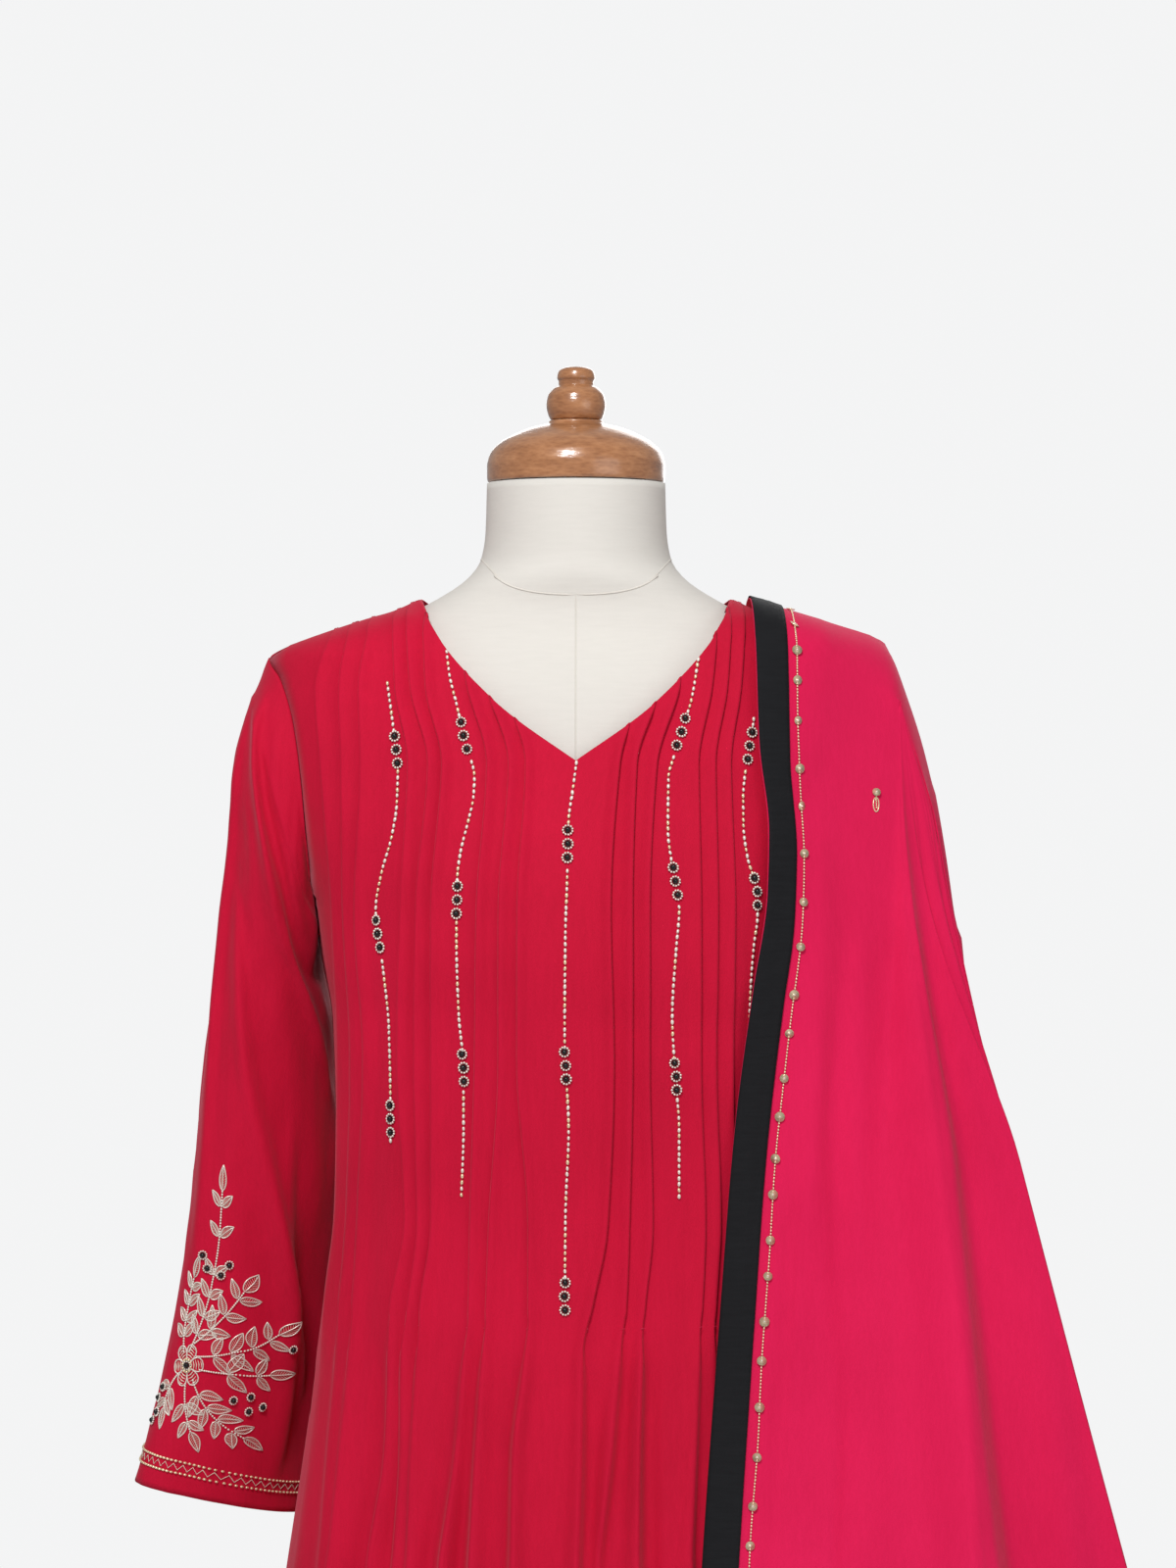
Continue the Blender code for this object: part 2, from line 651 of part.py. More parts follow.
def make_leg(name, sign, cloth):
    """A leg: half of the hip ring above the crotch, a closed tube below it."""
    bm = bmesh.new()
    count = 16
    heights = [SALWAR_TOP, 0.930, 0.860, CROTCH_TOP, 0.775, 0.750, 0.725]
    heights += [CROTCH_FOOT, 0.560, 0.400, 0.240, 0.120, ANKLE]
    centre = CROTCH_X + sign * SEAM / 2

    def point(column, row):
        z = heights[row]
        half, front, back = (read(SALWAR, z, c) for c in range(1, 4))
        turn = math.pi * column / count
        side, along = math.sin(turn), math.cos(turn)
        deep = front if along > 0 else back
        across = sign * half - centre
        power = 2 / ROUNDNESS
        hip = Vector((centre + across * side**power, -deep * math.copysign(abs(along) ** power, along), z))
        middle = centre + across / 2
        around = math.sin(2 * turn)
        tube_y = -deep * math.copysign(abs(around) ** power, around)
        tube = Vector((middle - across / 2 * math.cos(2 * turn), tube_y, z))
        closed = smooth((CROTCH_TOP - z) / (CROTCH_TOP - CROTCH_FOOT))
        fold = 0.006 * side * math.cos(9 * turn + sign) * smooth((CROTCH_TOP - z) / 0.3)
        p = hip.lerp(tube, closed)
        return p + Vector((sign * fold * side, p.y * fold * 5, 0))

    grid(bm, count + 1, len(heights), point)
    middle = sign * 0.08 + CROTCH_X

    def outward(p):
        return Vector((p.x - middle, p.y, 0))

    def axis(p):
        if abs(p.x - centre) < 0.00005:
            return 0
        return 2 if p.z > 0.984 else None

    wall(bm, outward, axis)
    return finish(name, bm, cloth)


# ---------------------------------------------------------------- dupatta
class Drape:
    """Half of the dupatta, in front of the shoulder or behind it."""

    def __init__(self, front):
        self.front = front
        self.side = -1.0 if front else 1.0
        self.length = DUPATTA_FRONT if front else DUPATTA_BACK
        self.corner = FRONT_CORNER if front else BACK_CORNER
        self.fan = FRONT_FAN if front else BACK_FAN
        self.edge = NECK_EDGE if front else BACK_NECK_EDGE
        self.border_path = self.neck_path()
        self.over = 0.060 if front else 0.088

    def neck_path(self):
        """Points with their length along the neck edge, hanging free below the fullest place."""
        points, reach, run = [], 0.0, 0.0
        z = seam_height(read(self.edge, 1.42)) + LIFT
        last = None
        while run < self.length + 0.02:
            x = read(self.edge, z)
            body = depth_at(KAMEEZ, x, z - LIFT, self.front) if z - LIFT < seam_height(x) else 0.0
            clear = DRAPE_CLEAR + 0.014 * smooth((0.95 - z) / 0.5)
            reach = max(reach, body + clear * smooth(body / 0.02))
            here = Vector((x, self.side * reach, z))
            if last is not None:
                run += (here - last).length
            points.append((run, here))
            last = here
            z -= 0.0008 if z > 1.38 else 0.004
        return points

    def along_edge(self, run):
        for (a, p), (b, q) in zip(self.border_path, self.border_path[1:]):
            if run <= b:
                return p.lerp(q, (run - a) / max(b - a, 1e-9))
        return self.border_path[-1][1]

    def direction(self, angle, fold=1.0):
        """Which way a straight line of the cloth hangs, from its angle in the flat cloth."""
        x, y = read(self.fan, angle, 1), read(self.fan, angle, 2)
        ends = self.fan[0], self.fan[-1]
        share = (angle - ends[1][0]) / (ends[0][0] - ends[1][0])
        plain_x = 0.175 + (ends[0][1] - 0.175) * share**2
        plain_y = ends[0][2] * smooth(share)
        x = plain_x + fold * (x - plain_x)
        y = plain_y + fold * (y - plain_y)
        return Vector((x, y, -1.0)).normalized()

    def tip(self, run):
        """The line between the shoulder band and the fan, from the ridge down."""
        if run <= self.over:
            top = Vector((0.2105, 0.0, 1.3985))
            share = run / self.over
            y = self.corner.y * math.sin(share * math.pi / 2) ** 1.1
            z = self.corner.z + (top.z - self.corner.z) * math.cos(share * math.pi / 2) ** 1.2
            return Vector((top.x + (self.corner.x - top.x) * share, y, z))
        return self.corner + (run - self.over) * self.direction(self.fan[0][0], self.fold_at(run - self.over))

    def fold_at(self, r):
        return smooth((r - 0.015) / 0.15)

    def band(self, across, run):
        """A point between the neck edge and the tip line; across is 0 to 1."""
        p = self.along_edge(run).lerp(self.tip(run), across)
        ridge = seam_height(p.x) + LIFT if p.x < 0.206 else 1.3985
        z_body = min(p.z - LIFT, ridge - LIFT)
        body = depth_at(KAMEEZ, p.x, z_body, self.front) if z_body < seam_height(min(p.x, 0.205)) else 0.0
        clear = DRAPE_CLEAR + 0.014 * smooth((0.95 - p.z) / 0.5)
        reach = body + clear * smooth(body / 0.02)
        if abs(p.y) < reach:
            p.y = self.side * reach
        return p

    def fan_point(self, angle, share):
        """A point of the fan; share is 0 at the shoulder and 1 at the cloth's edge."""
        turn = math.radians(abs(angle))
        along = (self.length - self.over) / max(math.sin(turn), 1e-6)
        across = (DUPATTA_WIDTH - SHOULDER_BAND) / max(math.cos(turn), 1e-6)
        r = share * min(along, across)
        return self.corner + r * self.direction(angle, self.fold_at(r))

    def corner_angle(self):
        return math.degrees(math.atan2(self.length - self.over, DUPATTA_WIDTH - SHOULDER_BAND))


BAND_COLUMNS = (0.0, BORDER_WIDTH / SHOULDER_BAND, 0.6, 1.0)
FALL_ROWS = (0.0, 0.02, 0.05, 0.09, 0.14, 0.20, 0.28, 0.38, 0.50, 0.64, 0.80, 1.0)
OVER_ROWS = 7


def fan_angles(drape):
    """Every crest and trough, the places half way between the wide ones, and the cloth's corner."""
    stops = [row[0] for row in drape.fan]
    middles = [(a + b) / 2 for a, b in zip(stops, stops[1:])]
    corner = math.copysign(drape.corner_angle(), stops[0])
    near = [a for a in stops + middles if abs(a - corner) > 1.5]
    return sorted(near + [corner], key=abs, reverse=True)


def add_fall(bm, drape):
    angles = fan_angles(drape)
    wide = len(BAND_COLUMNS)

    def point(column, row):
        share = FALL_ROWS[row]
        if column < wide:
            run = drape.over + share * (drape.length - drape.over)
            return drape.band(BAND_COLUMNS[column], run)
        return drape.fan_point(angles[column - wide + 1], share)

    grid(bm, wide + len(angles) - 1, len(FALL_ROWS), point)


def over_point(front, back, across, row):
    """A point of the band over the shoulder; row 0 is the front corner."""
    half = OVER_ROWS // 2
    if row <= half:
        return front.band(across, front.over * (1 - row / half))
    return back.band(across, back.over * (row - half) / half)


def add_over(bm, front, back):
    grid(bm, len(BAND_COLUMNS), OVER_ROWS, lambda c, r: over_point(front, back, BAND_COLUMNS[c], r))

    def side(column, row):
        start = over_point(front, back, 1.0, column)
        length = (DUPATTA_WIDTH - SHOULDER_BAND) * FALL_ROWS[row]
        return start + length * front.direction(0.0, front.fold_at(length))

    grid(bm, OVER_ROWS, len(FALL_ROWS), side)


def dupatta_outward(p):
    return Vector((p.x - 0.10, p.y, 0.25))


def make_dupatta(cloth, ribbon):
    front, back = Drape(True), Drape(False)
    bm = bmesh.new()
    add_fall(bm, front)
    add_fall(bm, back)
    add_over(bm, front, back)
    face_out(bm, dupatta_outward)
    normals = {place_key(vert.co): vert.normal.copy() for vert in bm.verts}
    wall(bm, dupatta_outward)
    finish("dupatta_panel", bm, cloth)
    make_border(front, back, normals, ribbon)


def place_key(co):
    return tuple(round(c, 4) for c in co)


def make_border(front, back, normals, ribbon):
    """The ribbon lies on the panel's own points along the neck edge, moved out."""
    runs = [("front", share) for share in reversed(FALL_ROWS)]
    runs += [("over", row) for row in range(1, OVER_ROWS - 1)]
    runs += [("back", share) for share in FALL_ROWS]
    away = RIBBON + 2 * SEAM

    def point(column, row):
        across = BAND_COLUMNS[1] * column
        kind, value = runs[row]
        if kind == "over":
            p = over_point(front, back, across, value)
        else:
            drape = front if kind == "front" else back
            p = drape.band(across, drape.over + value * (drape.length - drape.over))
        return p + away * normals[place_key(p)]

    bm = bmesh.new()
    grid(bm, 2, len(runs), point)
    wall(bm, dupatta_outward, None, RIBBON)
    finish("dupatta_border", bm, ribbon)


# ---------------------------------------------------------------- the whole set
def main():
    clear_scene()
    georgette = material("crimson_georgette", (0.62, 0.012, 0.060), 0.75)
    light_georgette = material("dupatta_georgette", (0.68, 0.018, 0.100), 0.7)
    ribbon = material("black_ribbon", (0.013, 0.013, 0.016), 0.7)
    linen = material("linen", (0.78, 0.75, 0.70), 0.85)
    wood = material("varnished_wood", (0.38, 0.16, 0.06), 0.3)
    steel = material("steel", (0.10, 0.10, 0.11), 0.4, 0.9)
    make_form(linen, wood, steel)
    make_front(georgette)
    make_back(georgette)
    make_sleeve("sleeve_right", SLEEVE_RIGHT, -1, georgette)
    make_sleeve("sleeve_left", SLEEVE_LEFT, 1, georgette)
    make_belt(georgette)
    make_leg("salwar_leg_right", -1, georgette)
    make_leg("salwar_leg_left", 1, georgette)
    make_dupatta(light_georgette, ribbon)


main()
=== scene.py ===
"""The looks of a salwar kameez suit with its dupatta, on a linen dress form.

The cloth pieces are fine shells on the forms of their solids; beads and embroidery are laid on them.
"""

import math
import random

import bmesh
import bpy
from mathutils import Matrix, Vector, noise
from mathutils.bvhtree import BVHTree


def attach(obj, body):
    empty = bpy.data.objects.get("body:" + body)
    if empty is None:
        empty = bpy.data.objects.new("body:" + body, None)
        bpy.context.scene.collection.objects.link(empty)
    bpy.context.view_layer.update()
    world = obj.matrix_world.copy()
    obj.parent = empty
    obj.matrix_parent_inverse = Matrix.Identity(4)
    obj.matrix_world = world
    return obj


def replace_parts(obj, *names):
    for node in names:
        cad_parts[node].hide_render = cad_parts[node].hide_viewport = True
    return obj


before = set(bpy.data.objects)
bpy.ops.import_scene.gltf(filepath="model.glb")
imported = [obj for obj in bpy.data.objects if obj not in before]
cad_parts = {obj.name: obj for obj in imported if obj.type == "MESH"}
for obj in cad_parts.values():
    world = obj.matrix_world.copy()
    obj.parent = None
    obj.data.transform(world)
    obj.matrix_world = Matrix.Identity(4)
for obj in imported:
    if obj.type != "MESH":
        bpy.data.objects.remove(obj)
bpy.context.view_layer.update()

# ---- sizes
SEAM = 0.0004  # gap between two pieces at a seam
ROUNDNESS = 2.3  # exponent of the body's cross-section, 2 is an ellipse
NECK_HALF = 0.1056  # half width of the neckline at the shoulder seam
UNDERARM, HEM = 1.225, 0.31  # heights
TUCK_END = 0.951  # the pin tucks are stitched down to here
TUCK_HEIGHT = 0.0038  # how far a stitched tuck stands out

DUPATTA_WIDTH = 0.90
DUPATTA_FRONT = 1.10  # length in front of the shoulder
DUPATTA_BACK = 1.15
BORDER_WIDTH = 0.0225
SHOULDER_BAND = 0.102  # width of the dupatta that lies on the shoulder
DRAPE_CLEAR = 0.007  # from the kameez to the dupatta
LIFT = 0.006  # from the shoulder seam to the dupatta on it
SAME_POINT = 0.00003  # points nearer than this are merged
BOXY = 0.87  # power of the sleeves' and the belt's sections, where 1 is an ellipse
FORM_TOP, FORM_FOOT = 1.503, 0.800
FINIAL_FOOT = 1.5458
BELT_TOP, BELT_FOOT = 1.012, 0.9856
BELT_HALF, BELT_DEEP = 0.157, 0.114
DOWN = Vector((0, 0, -1))

# height, half width, front depth, back depth of the dress form
FORM = (
    (FORM_TOP, 0.0600, 0.060, 0.060),
    (1.470, 0.0610, 0.061, 0.062),
    (1.452, 0.0640, 0.062, 0.064),
    (1.440, 0.0720, 0.064, 0.067),
    (1.4215, 0.1000, 0.061, 0.064),
    (1.405, 0.1370, 0.064, 0.067),
    (1.394, 0.1660, 0.070, 0.072),
    (1.382, 0.1870, 0.078, 0.080),
    (1.366, 0.1940, 0.087, 0.086),
    (1.340, 0.1920, 0.096, 0.093),
    (1.280, 0.1800, 0.113, 0.101),
    (1.200, 0.1640, 0.130, 0.099),
    (1.130, 0.1520, 0.120, 0.096),
    (1.050, 0.1420, 0.102, 0.095),
    (0.950, 0.1520, 0.106, 0.110),
    (0.860, 0.1600, 0.112, 0.122),
    (FORM_FOOT, 0.1590, 0.110, 0.120),
)
# height, half width, front depth, back depth
KAMEEZ = (
    (1.4250, 0.1056, 0.071, 0.075),
    (1.4170, 0.1234, 0.073, 0.077),
    (1.4120, 0.1406, 0.077, 0.079),
    (1.4020, 0.1710, 0.084, 0.084),
    (1.3930, 0.1950, 0.088, 0.089),
    (1.3860, 0.2060, 0.092, 0.092),
    (1.3600, 0.2085, 0.101, 0.099),
    (1.3400, 0.2070, 0.106, 0.102),
    (1.3000, 0.1990, 0.117, 0.106),
    (1.2640, 0.1880, 0.128, 0.107),
    (1.2250, 0.1775, 0.136, 0.106),
    (1.1850, 0.1715, 0.140, 0.105),
    (1.1430, 0.1640, 0.138, 0.107),
    (1.0370, 0.1610, 0.134, 0.117),
    (0.9660, 0.1690, 0.136, 0.131),
    (0.8800, 0.1790, 0.142, 0.144),
    (0.7730, 0.1950, 0.150, 0.155),
    (0.6500, 0.2130, 0.158, 0.163),
    (0.5000, 0.2330, 0.168, 0.173),
    (0.3100, 0.2550, 0.180, 0.185),
)
# height, half width of the front, half width of the back
ARMHOLE = (
    (1.4250, 0.2060, 0.2060),
    (1.3860, 0.2060, 0.2060),
    (1.3700, 0.1960, 0.2000),
    (1.3400, 0.1865, 0.1930),
    (1.3000, 0.1810, 0.1870),
    (1.2620, 0.1780, 0.1820),
    (1.2400, 0.1765, 0.1785),
    (1.2250, 0.1775, 0.1775),
)
# distance from the centre, height of the front neckline there
NECKLINE = (
    (0.0000, 1.3156),
    (0.0439, 1.3468),
    (0.0645, 1.3660),
    (0.0864, 1.3910),
    (0.1056, 1.4250),
)
# distance from the centre, height of the back neckline there
BACK_NECKLINE = (
    (0.0000, 1.4020),
    (0.0500, 1.4060),
    (0.0850, 1.4140),
    (0.1056, 1.4250),
)
# heights at which the next table gives each tuck's place
TUCK_LEVELS = (1.400, 1.364, 1.314, 1.219, 1.122, 1.017, 0.964, 0.932, 0.869, 0.806)
# name, the open fold's depth, then the tuck's distance from the centre line at each level
TUCKS = (
    ("side_outer", 0.009, -0.161, -0.170, -0.166, -0.158, -0.155, -0.157, -0.163, -0.167, -0.174, -0.182),
    ("side_middle", 0.007, -0.149, -0.154, -0.152, -0.150, -0.145, -0.148, -0.152, -0.155, -0.161, -0.167),
    ("side_inner", 0.012, -0.136, -0.141, -0.139, -0.142, -0.136, -0.140, -0.143, -0.145, -0.150, -0.155),
    ("chest_outer", 0.014, -0.119, -0.117, -0.108, -0.112, -0.114, -0.109, -0.118, -0.120, -0.122, -0.130),
    ("chest_middle", 0.012, -0.110, -0.107, -0.095, -0.102, -0.103, -0.101, -0.107, -0.111, -0.112, -0.116),
    ("chest_inner", 0.007, -0.099, -0.097, -0.086, -0.092, -0.092, -0.092, -0.099, -0.101, -0.104, -0.106),
    ("neck_outer", 0.009, -0.077, -0.070, -0.057, -0.063, -0.064, -0.067, -0.068, -0.071, -0.076, -0.085),
    ("neck_middle", 0.012, -0.068, -0.058, -0.043, -0.049, -0.049, -0.055, -0.057, -0.059, -0.063, -0.066),
    ("neck_inner", 0.013, -0.056, -0.047, -0.032, -0.037, -0.037, -0.030, -0.030, -0.032, -0.039, -0.040),
    ("neck_inner_left", 0.012, 0.048, 0.042, 0.028, 0.022, 0.024, 0.020, 0.010, 0.004, 0.003, 0.001),
    ("neck_middle_left", 0.009, 0.062, 0.055, 0.039, 0.036, 0.036, 0.034, 0.032, 0.028, 0.022, 0.014),
    ("neck_outer_left", 0.014, 0.073, 0.067, 0.052, 0.047, 0.047, 0.049, 0.044, 0.042, 0.040, 0.039),
    ("chest_inner_left", 0.008, 0.092, 0.088, 0.079, 0.080, 0.080, 0.083, 0.081, 0.079, 0.076, 0.073),
    ("chest_middle_left", 0.010, 0.101, 0.098, 0.090, 0.091, 0.090, 0.093, 0.090, 0.089, 0.088, 0.086),
    ("chest_outer_left", 0.012, 0.110, 0.107, 0.100, 0.102, 0.101, 0.103, 0.101, 0.100, 0.100, 0.099),
    ("side_inner_left", 0.010, 0.136, 0.140, 0.138, 0.141, 0.136, 0.139, 0.142, 0.145, 0.149, 0.154),
    ("side_outer_left", 0.009, 0.160, 0.169, 0.165, 0.158, 0.155, 0.157, 0.162, 0.166, 0.173, 0.180),
)
# angle round the back from its middle in degrees, depth at the waist, depth at the hem
BACK_FOLDS = (
    (-62.0, 0.002, 0.011),
    (-38.0, 0.003, 0.014),
    (-14.0, 0.003, 0.010),
    (9.0, 0.004, 0.015),
    (33.0, 0.002, 0.012),
    (58.0, 0.003, 0.010),
)
# outer edge x, y, z, inner edge x, y, z, half depth; the first ring is the armhole itself
SLEEVE_RIGHT = (
    (-0.2185, 0.000, 1.360, -0.1750, 0.004, 1.213, 0.061),
    (-0.2265, 0.000, 1.322, -0.1725, 0.014, 1.198, 0.064),
    (-0.2315, 0.000, 1.270, -0.1725, 0.030, 1.172, 0.065),
    (-0.2400, 0.002, 1.205, -0.1645, 0.044, 1.132, 0.062),
    (-0.2500, 0.004, 1.110, -0.1620, 0.056, 1.060, 0.057),
    (-0.2580, 0.006, 1.030, -0.1670, 0.062, 0.990, 0.053),
    (-0.2690, 0.008, 0.960, -0.1720, 0.070, 0.925, 0.048),
    (-0.2820, 0.009, 0.895, -0.1790, 0.075, 0.860, 0.043),
    (-0.2980, 0.010, 0.832, -0.1880, 0.075, 0.801, 0.040),
)
SLEEVE_LEFT = (
    (0.2120, 0.004, 1.352, 0.1845, 0.008, 1.210, 0.057),
    (0.2180, 0.010, 1.305, 0.1880, 0.016, 1.194, 0.058),
    (0.2245, 0.014, 1.250, 0.1890, 0.018, 1.172, 0.060),
    (0.2300, 0.016, 1.200, 0.1870, 0.020, 1.148, 0.062),
    (0.2360, 0.018, 1.120, 0.1840, 0.020, 1.088, 0.063),
    (0.2400, 0.018, 1.030, 0.1840, 0.020, 1.008, 0.064),
    (0.2420, 0.018, 0.940, 0.1900, 0.020, 0.925, 0.064),
    (0.2440, 0.018, 0.832, 0.2020, 0.020, 0.820, 0.064),
)
# height, outer half width, front depth, back depth
SALWAR = (
    (0.985, 0.1560, 0.113, 0.113),
    (0.930, 0.1620, 0.118, 0.121),
    (0.860, 0.1690, 0.124, 0.130),
    (0.795, 0.1740, 0.127, 0.132),
    (0.700, 0.1760, 0.124, 0.128),
    (0.560, 0.1720, 0.114, 0.118),
    (0.400, 0.1660, 0.100, 0.104),
    (0.240, 0.1580, 0.086, 0.090),
    (0.120, 0.1480, 0.074, 0.078),
    (0.050, 0.1420, 0.068, 0.072),
)
SALWAR_TOP = 0.985
CROTCH_TOP, CROTCH_FOOT = 0.80, 0.70  # the centre seam closes into two inseams between these
ANKLE = 0.05
ANKLE_HIDDEN = 0.006  # the last row goes back up inside the edge
CROTCH_X = -0.026  # the centre seam stands beside the pole
# how the dupatta hangs from the shoulder: angle in the flat cloth, then x and y for each metre down
FRONT_FAN = (
    (-90.0, -0.050, -0.185),
    (-81.5, 0.092, -0.228),
    (-76.0, 0.118, -0.150),
    (-67.5, 0.258, -0.125),
    (-55.0, 0.085, -0.110),
    (-46.0, 0.250, -0.085),
    (-36.0, 0.088, -0.075),
    (-26.0, 0.248, -0.052),
    (-16.0, 0.100, -0.040),
    (-7.0, 0.242, -0.020),
    (0.0, 0.145, 0.000),
)
BACK_FAN = (
    (90.0, -0.060, 0.200),
    (81.0, 0.020, 0.270),
    (72.0, 0.005, 0.130),
    (60.0, 0.130, 0.270),
    (49.0, 0.050, 0.110),
    (38.0, 0.215, 0.205),
    (28.0, 0.075, 0.080),
    (17.5, 0.252, 0.110),
    (8.0, 0.100, 0.035),
    (0.0, 0.145, 0.000),
)
# where the dupatta leaves the shoulder, in front and behind
FRONT_CORNER = Vector((0.2145, -0.050, 1.356))
BACK_CORNER = Vector((0.2145, 0.078, 1.352))
# height, distance of the dupatta's neck edge from the centre line
NECK_EDGE = (
    (1.430, 0.1160),
    (1.390, 0.1175),
    (1.330, 0.1190),
    (1.270, 0.1250),
    (1.230, 0.1240),
    (1.170, 0.1150),
    (1.080, 0.1030),
    (0.960, 0.0930),
    (0.770, 0.0790),
    (0.300, 0.0560),
)
BACK_NECK_EDGE = (
    (1.430, 0.1160),
    (1.300, 0.1120),
    (1.100, 0.1000),
    (0.770, 0.0850),
    (0.250, 0.0600),
)


def smooth(t):
    """0 up to t = 0, 1 from t = 1, and an even rise between."""
    t = min(1.0, max(0.0, t))
    return t * t * (3 - 2 * t)


def waver(a, b, c):
    """A soft unevenness between about -1 and 1, the same in every run."""
    return noise.noise(Vector((a, b, c)))


def hump(gap, width):
    """A fold's section: 1 on its line, falling to nothing a little over a width away."""
    return math.exp(-((gap / width) ** 2))


def signed_power(value, power):
    """A power that keeps the value's sign, for rounded sections."""
    return math.copysign(abs(value) ** power, value)


def read(table, key, column=1):
    """A table's column at a key, on a curve that never overshoots its rows."""
    rows = sorted(table, key=lambda row: row[0])
    if key <= rows[0][0]:
        return rows[0][column]
    if key >= rows[-1][0]:
        return rows[-1][column]
    at = next(i for i in range(1, len(rows)) if key <= rows[i][0])

    def slope(i):
        if i == 0 or i == len(rows) - 1:
            near = 1 if i == 0 else i
            return (rows[near][column] - rows[near - 1][column]) / (rows[near][0] - rows[near - 1][0])
        before = (rows[i][column] - rows[i - 1][column]) / (rows[i][0] - rows[i - 1][0])
        after = (rows[i + 1][column] - rows[i][column]) / (rows[i + 1][0] - rows[i][0])
        return 0.0 if before * after <= 0 else 2 * before * after / (before + after)

    low, high = rows[at - 1], rows[at]
    width = high[0] - low[0]
    t = (key - low[0]) / width
    return (
        low[column] * (1 + 2 * t) * (1 - t) ** 2
        + slope(at - 1) * width * t * (1 - t) ** 2
        + high[column] * t * t * (3 - 2 * t)
        + slope(at) * width * t * t * (t - 1)
    )


def depth_at(table, x, z, front):
    """How far the section at a height reaches forwards or backwards at x."""
    half = read(table, z, 1)
    share = 1 - min(1.0, abs(x) / half) ** ROUNDNESS
    return read(table, z, 2 if front else 3) * share ** (1 / ROUNDNESS)


def tuck_places(tuck):
    return tuple(zip(TUCK_LEVELS, tuck[2:]))


def tuck_x(tuck, z):
    lowest = TUCK_LEVELS[-1]
    if z >= lowest:
        return read(tuck_places(tuck), z)
    return tuck[-1] * read(KAMEEZ, z) / read(KAMEEZ, lowest)


def panel_half(z, front):
    if z >= UNDERARM:
        return read(ARMHOLE, z, 1 if front else 2)
    return read(KAMEEZ, z)


def seam_height(x):
    """Height of the shoulder seam at a distance from the centre line."""
    low, high = 1.386, 1.425
    for _ in range(30):
        middle = (low + high) / 2
        if read(KAMEEZ, middle) > abs(x):
            low = middle
        else:
            high = middle
    return low


def top_of(place, front):
    """Height at which a column x = place(z) meets the neckline or the shoulder seam."""
    neckline = NECKLINE if front else BACK_NECKLINE
    z = 1.40
    for _ in range(40):
        x = min(abs(place(z)), 0.206)
        goal = read(neckline, x) if x < NECK_HALF else seam_height(x)
        z += 0.5 * (goal - z)
    return z


def row_height(top, row, rows, upper):
    """Heights of a column's points: closer together near its top, level below the underarm."""
    if row <= upper:
        return top + (UNDERARM - top) * (row / upper) ** 1.6
    return UNDERARM + (HEM - UNDERARM) * (row - upper) / (rows - 1 - upper)


def skin(x, z, front, out=0.0):
    """A point on the kameez's surface at x, moved out by a fold's depth."""
    half = read(KAMEEZ, z)
    x = max(-half, min(half, x))
    deep = depth_at(KAMEEZ, x, z, front)
    reach = read(KAMEEZ, z, 2 if front else 3)
    nx = math.copysign((abs(x) / half) ** (ROUNDNESS - 1) / half, x)
    ny = (deep / reach) ** (ROUNDNESS - 1) / reach
    size = math.hypot(nx, ny)
    side = -1.0 if front else 1.0
    y = side * max(deep, SEAM / 2)
    return Vector((x + out * nx / size, y + side * out * ny / size, z))


def armhole_loop(sign, upper):
    """The armhole's points, from the shoulder tip down the front and up the back."""
    loop = []
    for front in (True, False):
        top = top_of(lambda z: panel_half(z, front), front)
        side = [skin(sign * panel_half(z, front), z, front) for z in
                (row_height(top, row, 2 * upper, upper) for row in range(upper + 1))]
        loop += side[:-1] if front else list(reversed(side))[:-1]
    return loop


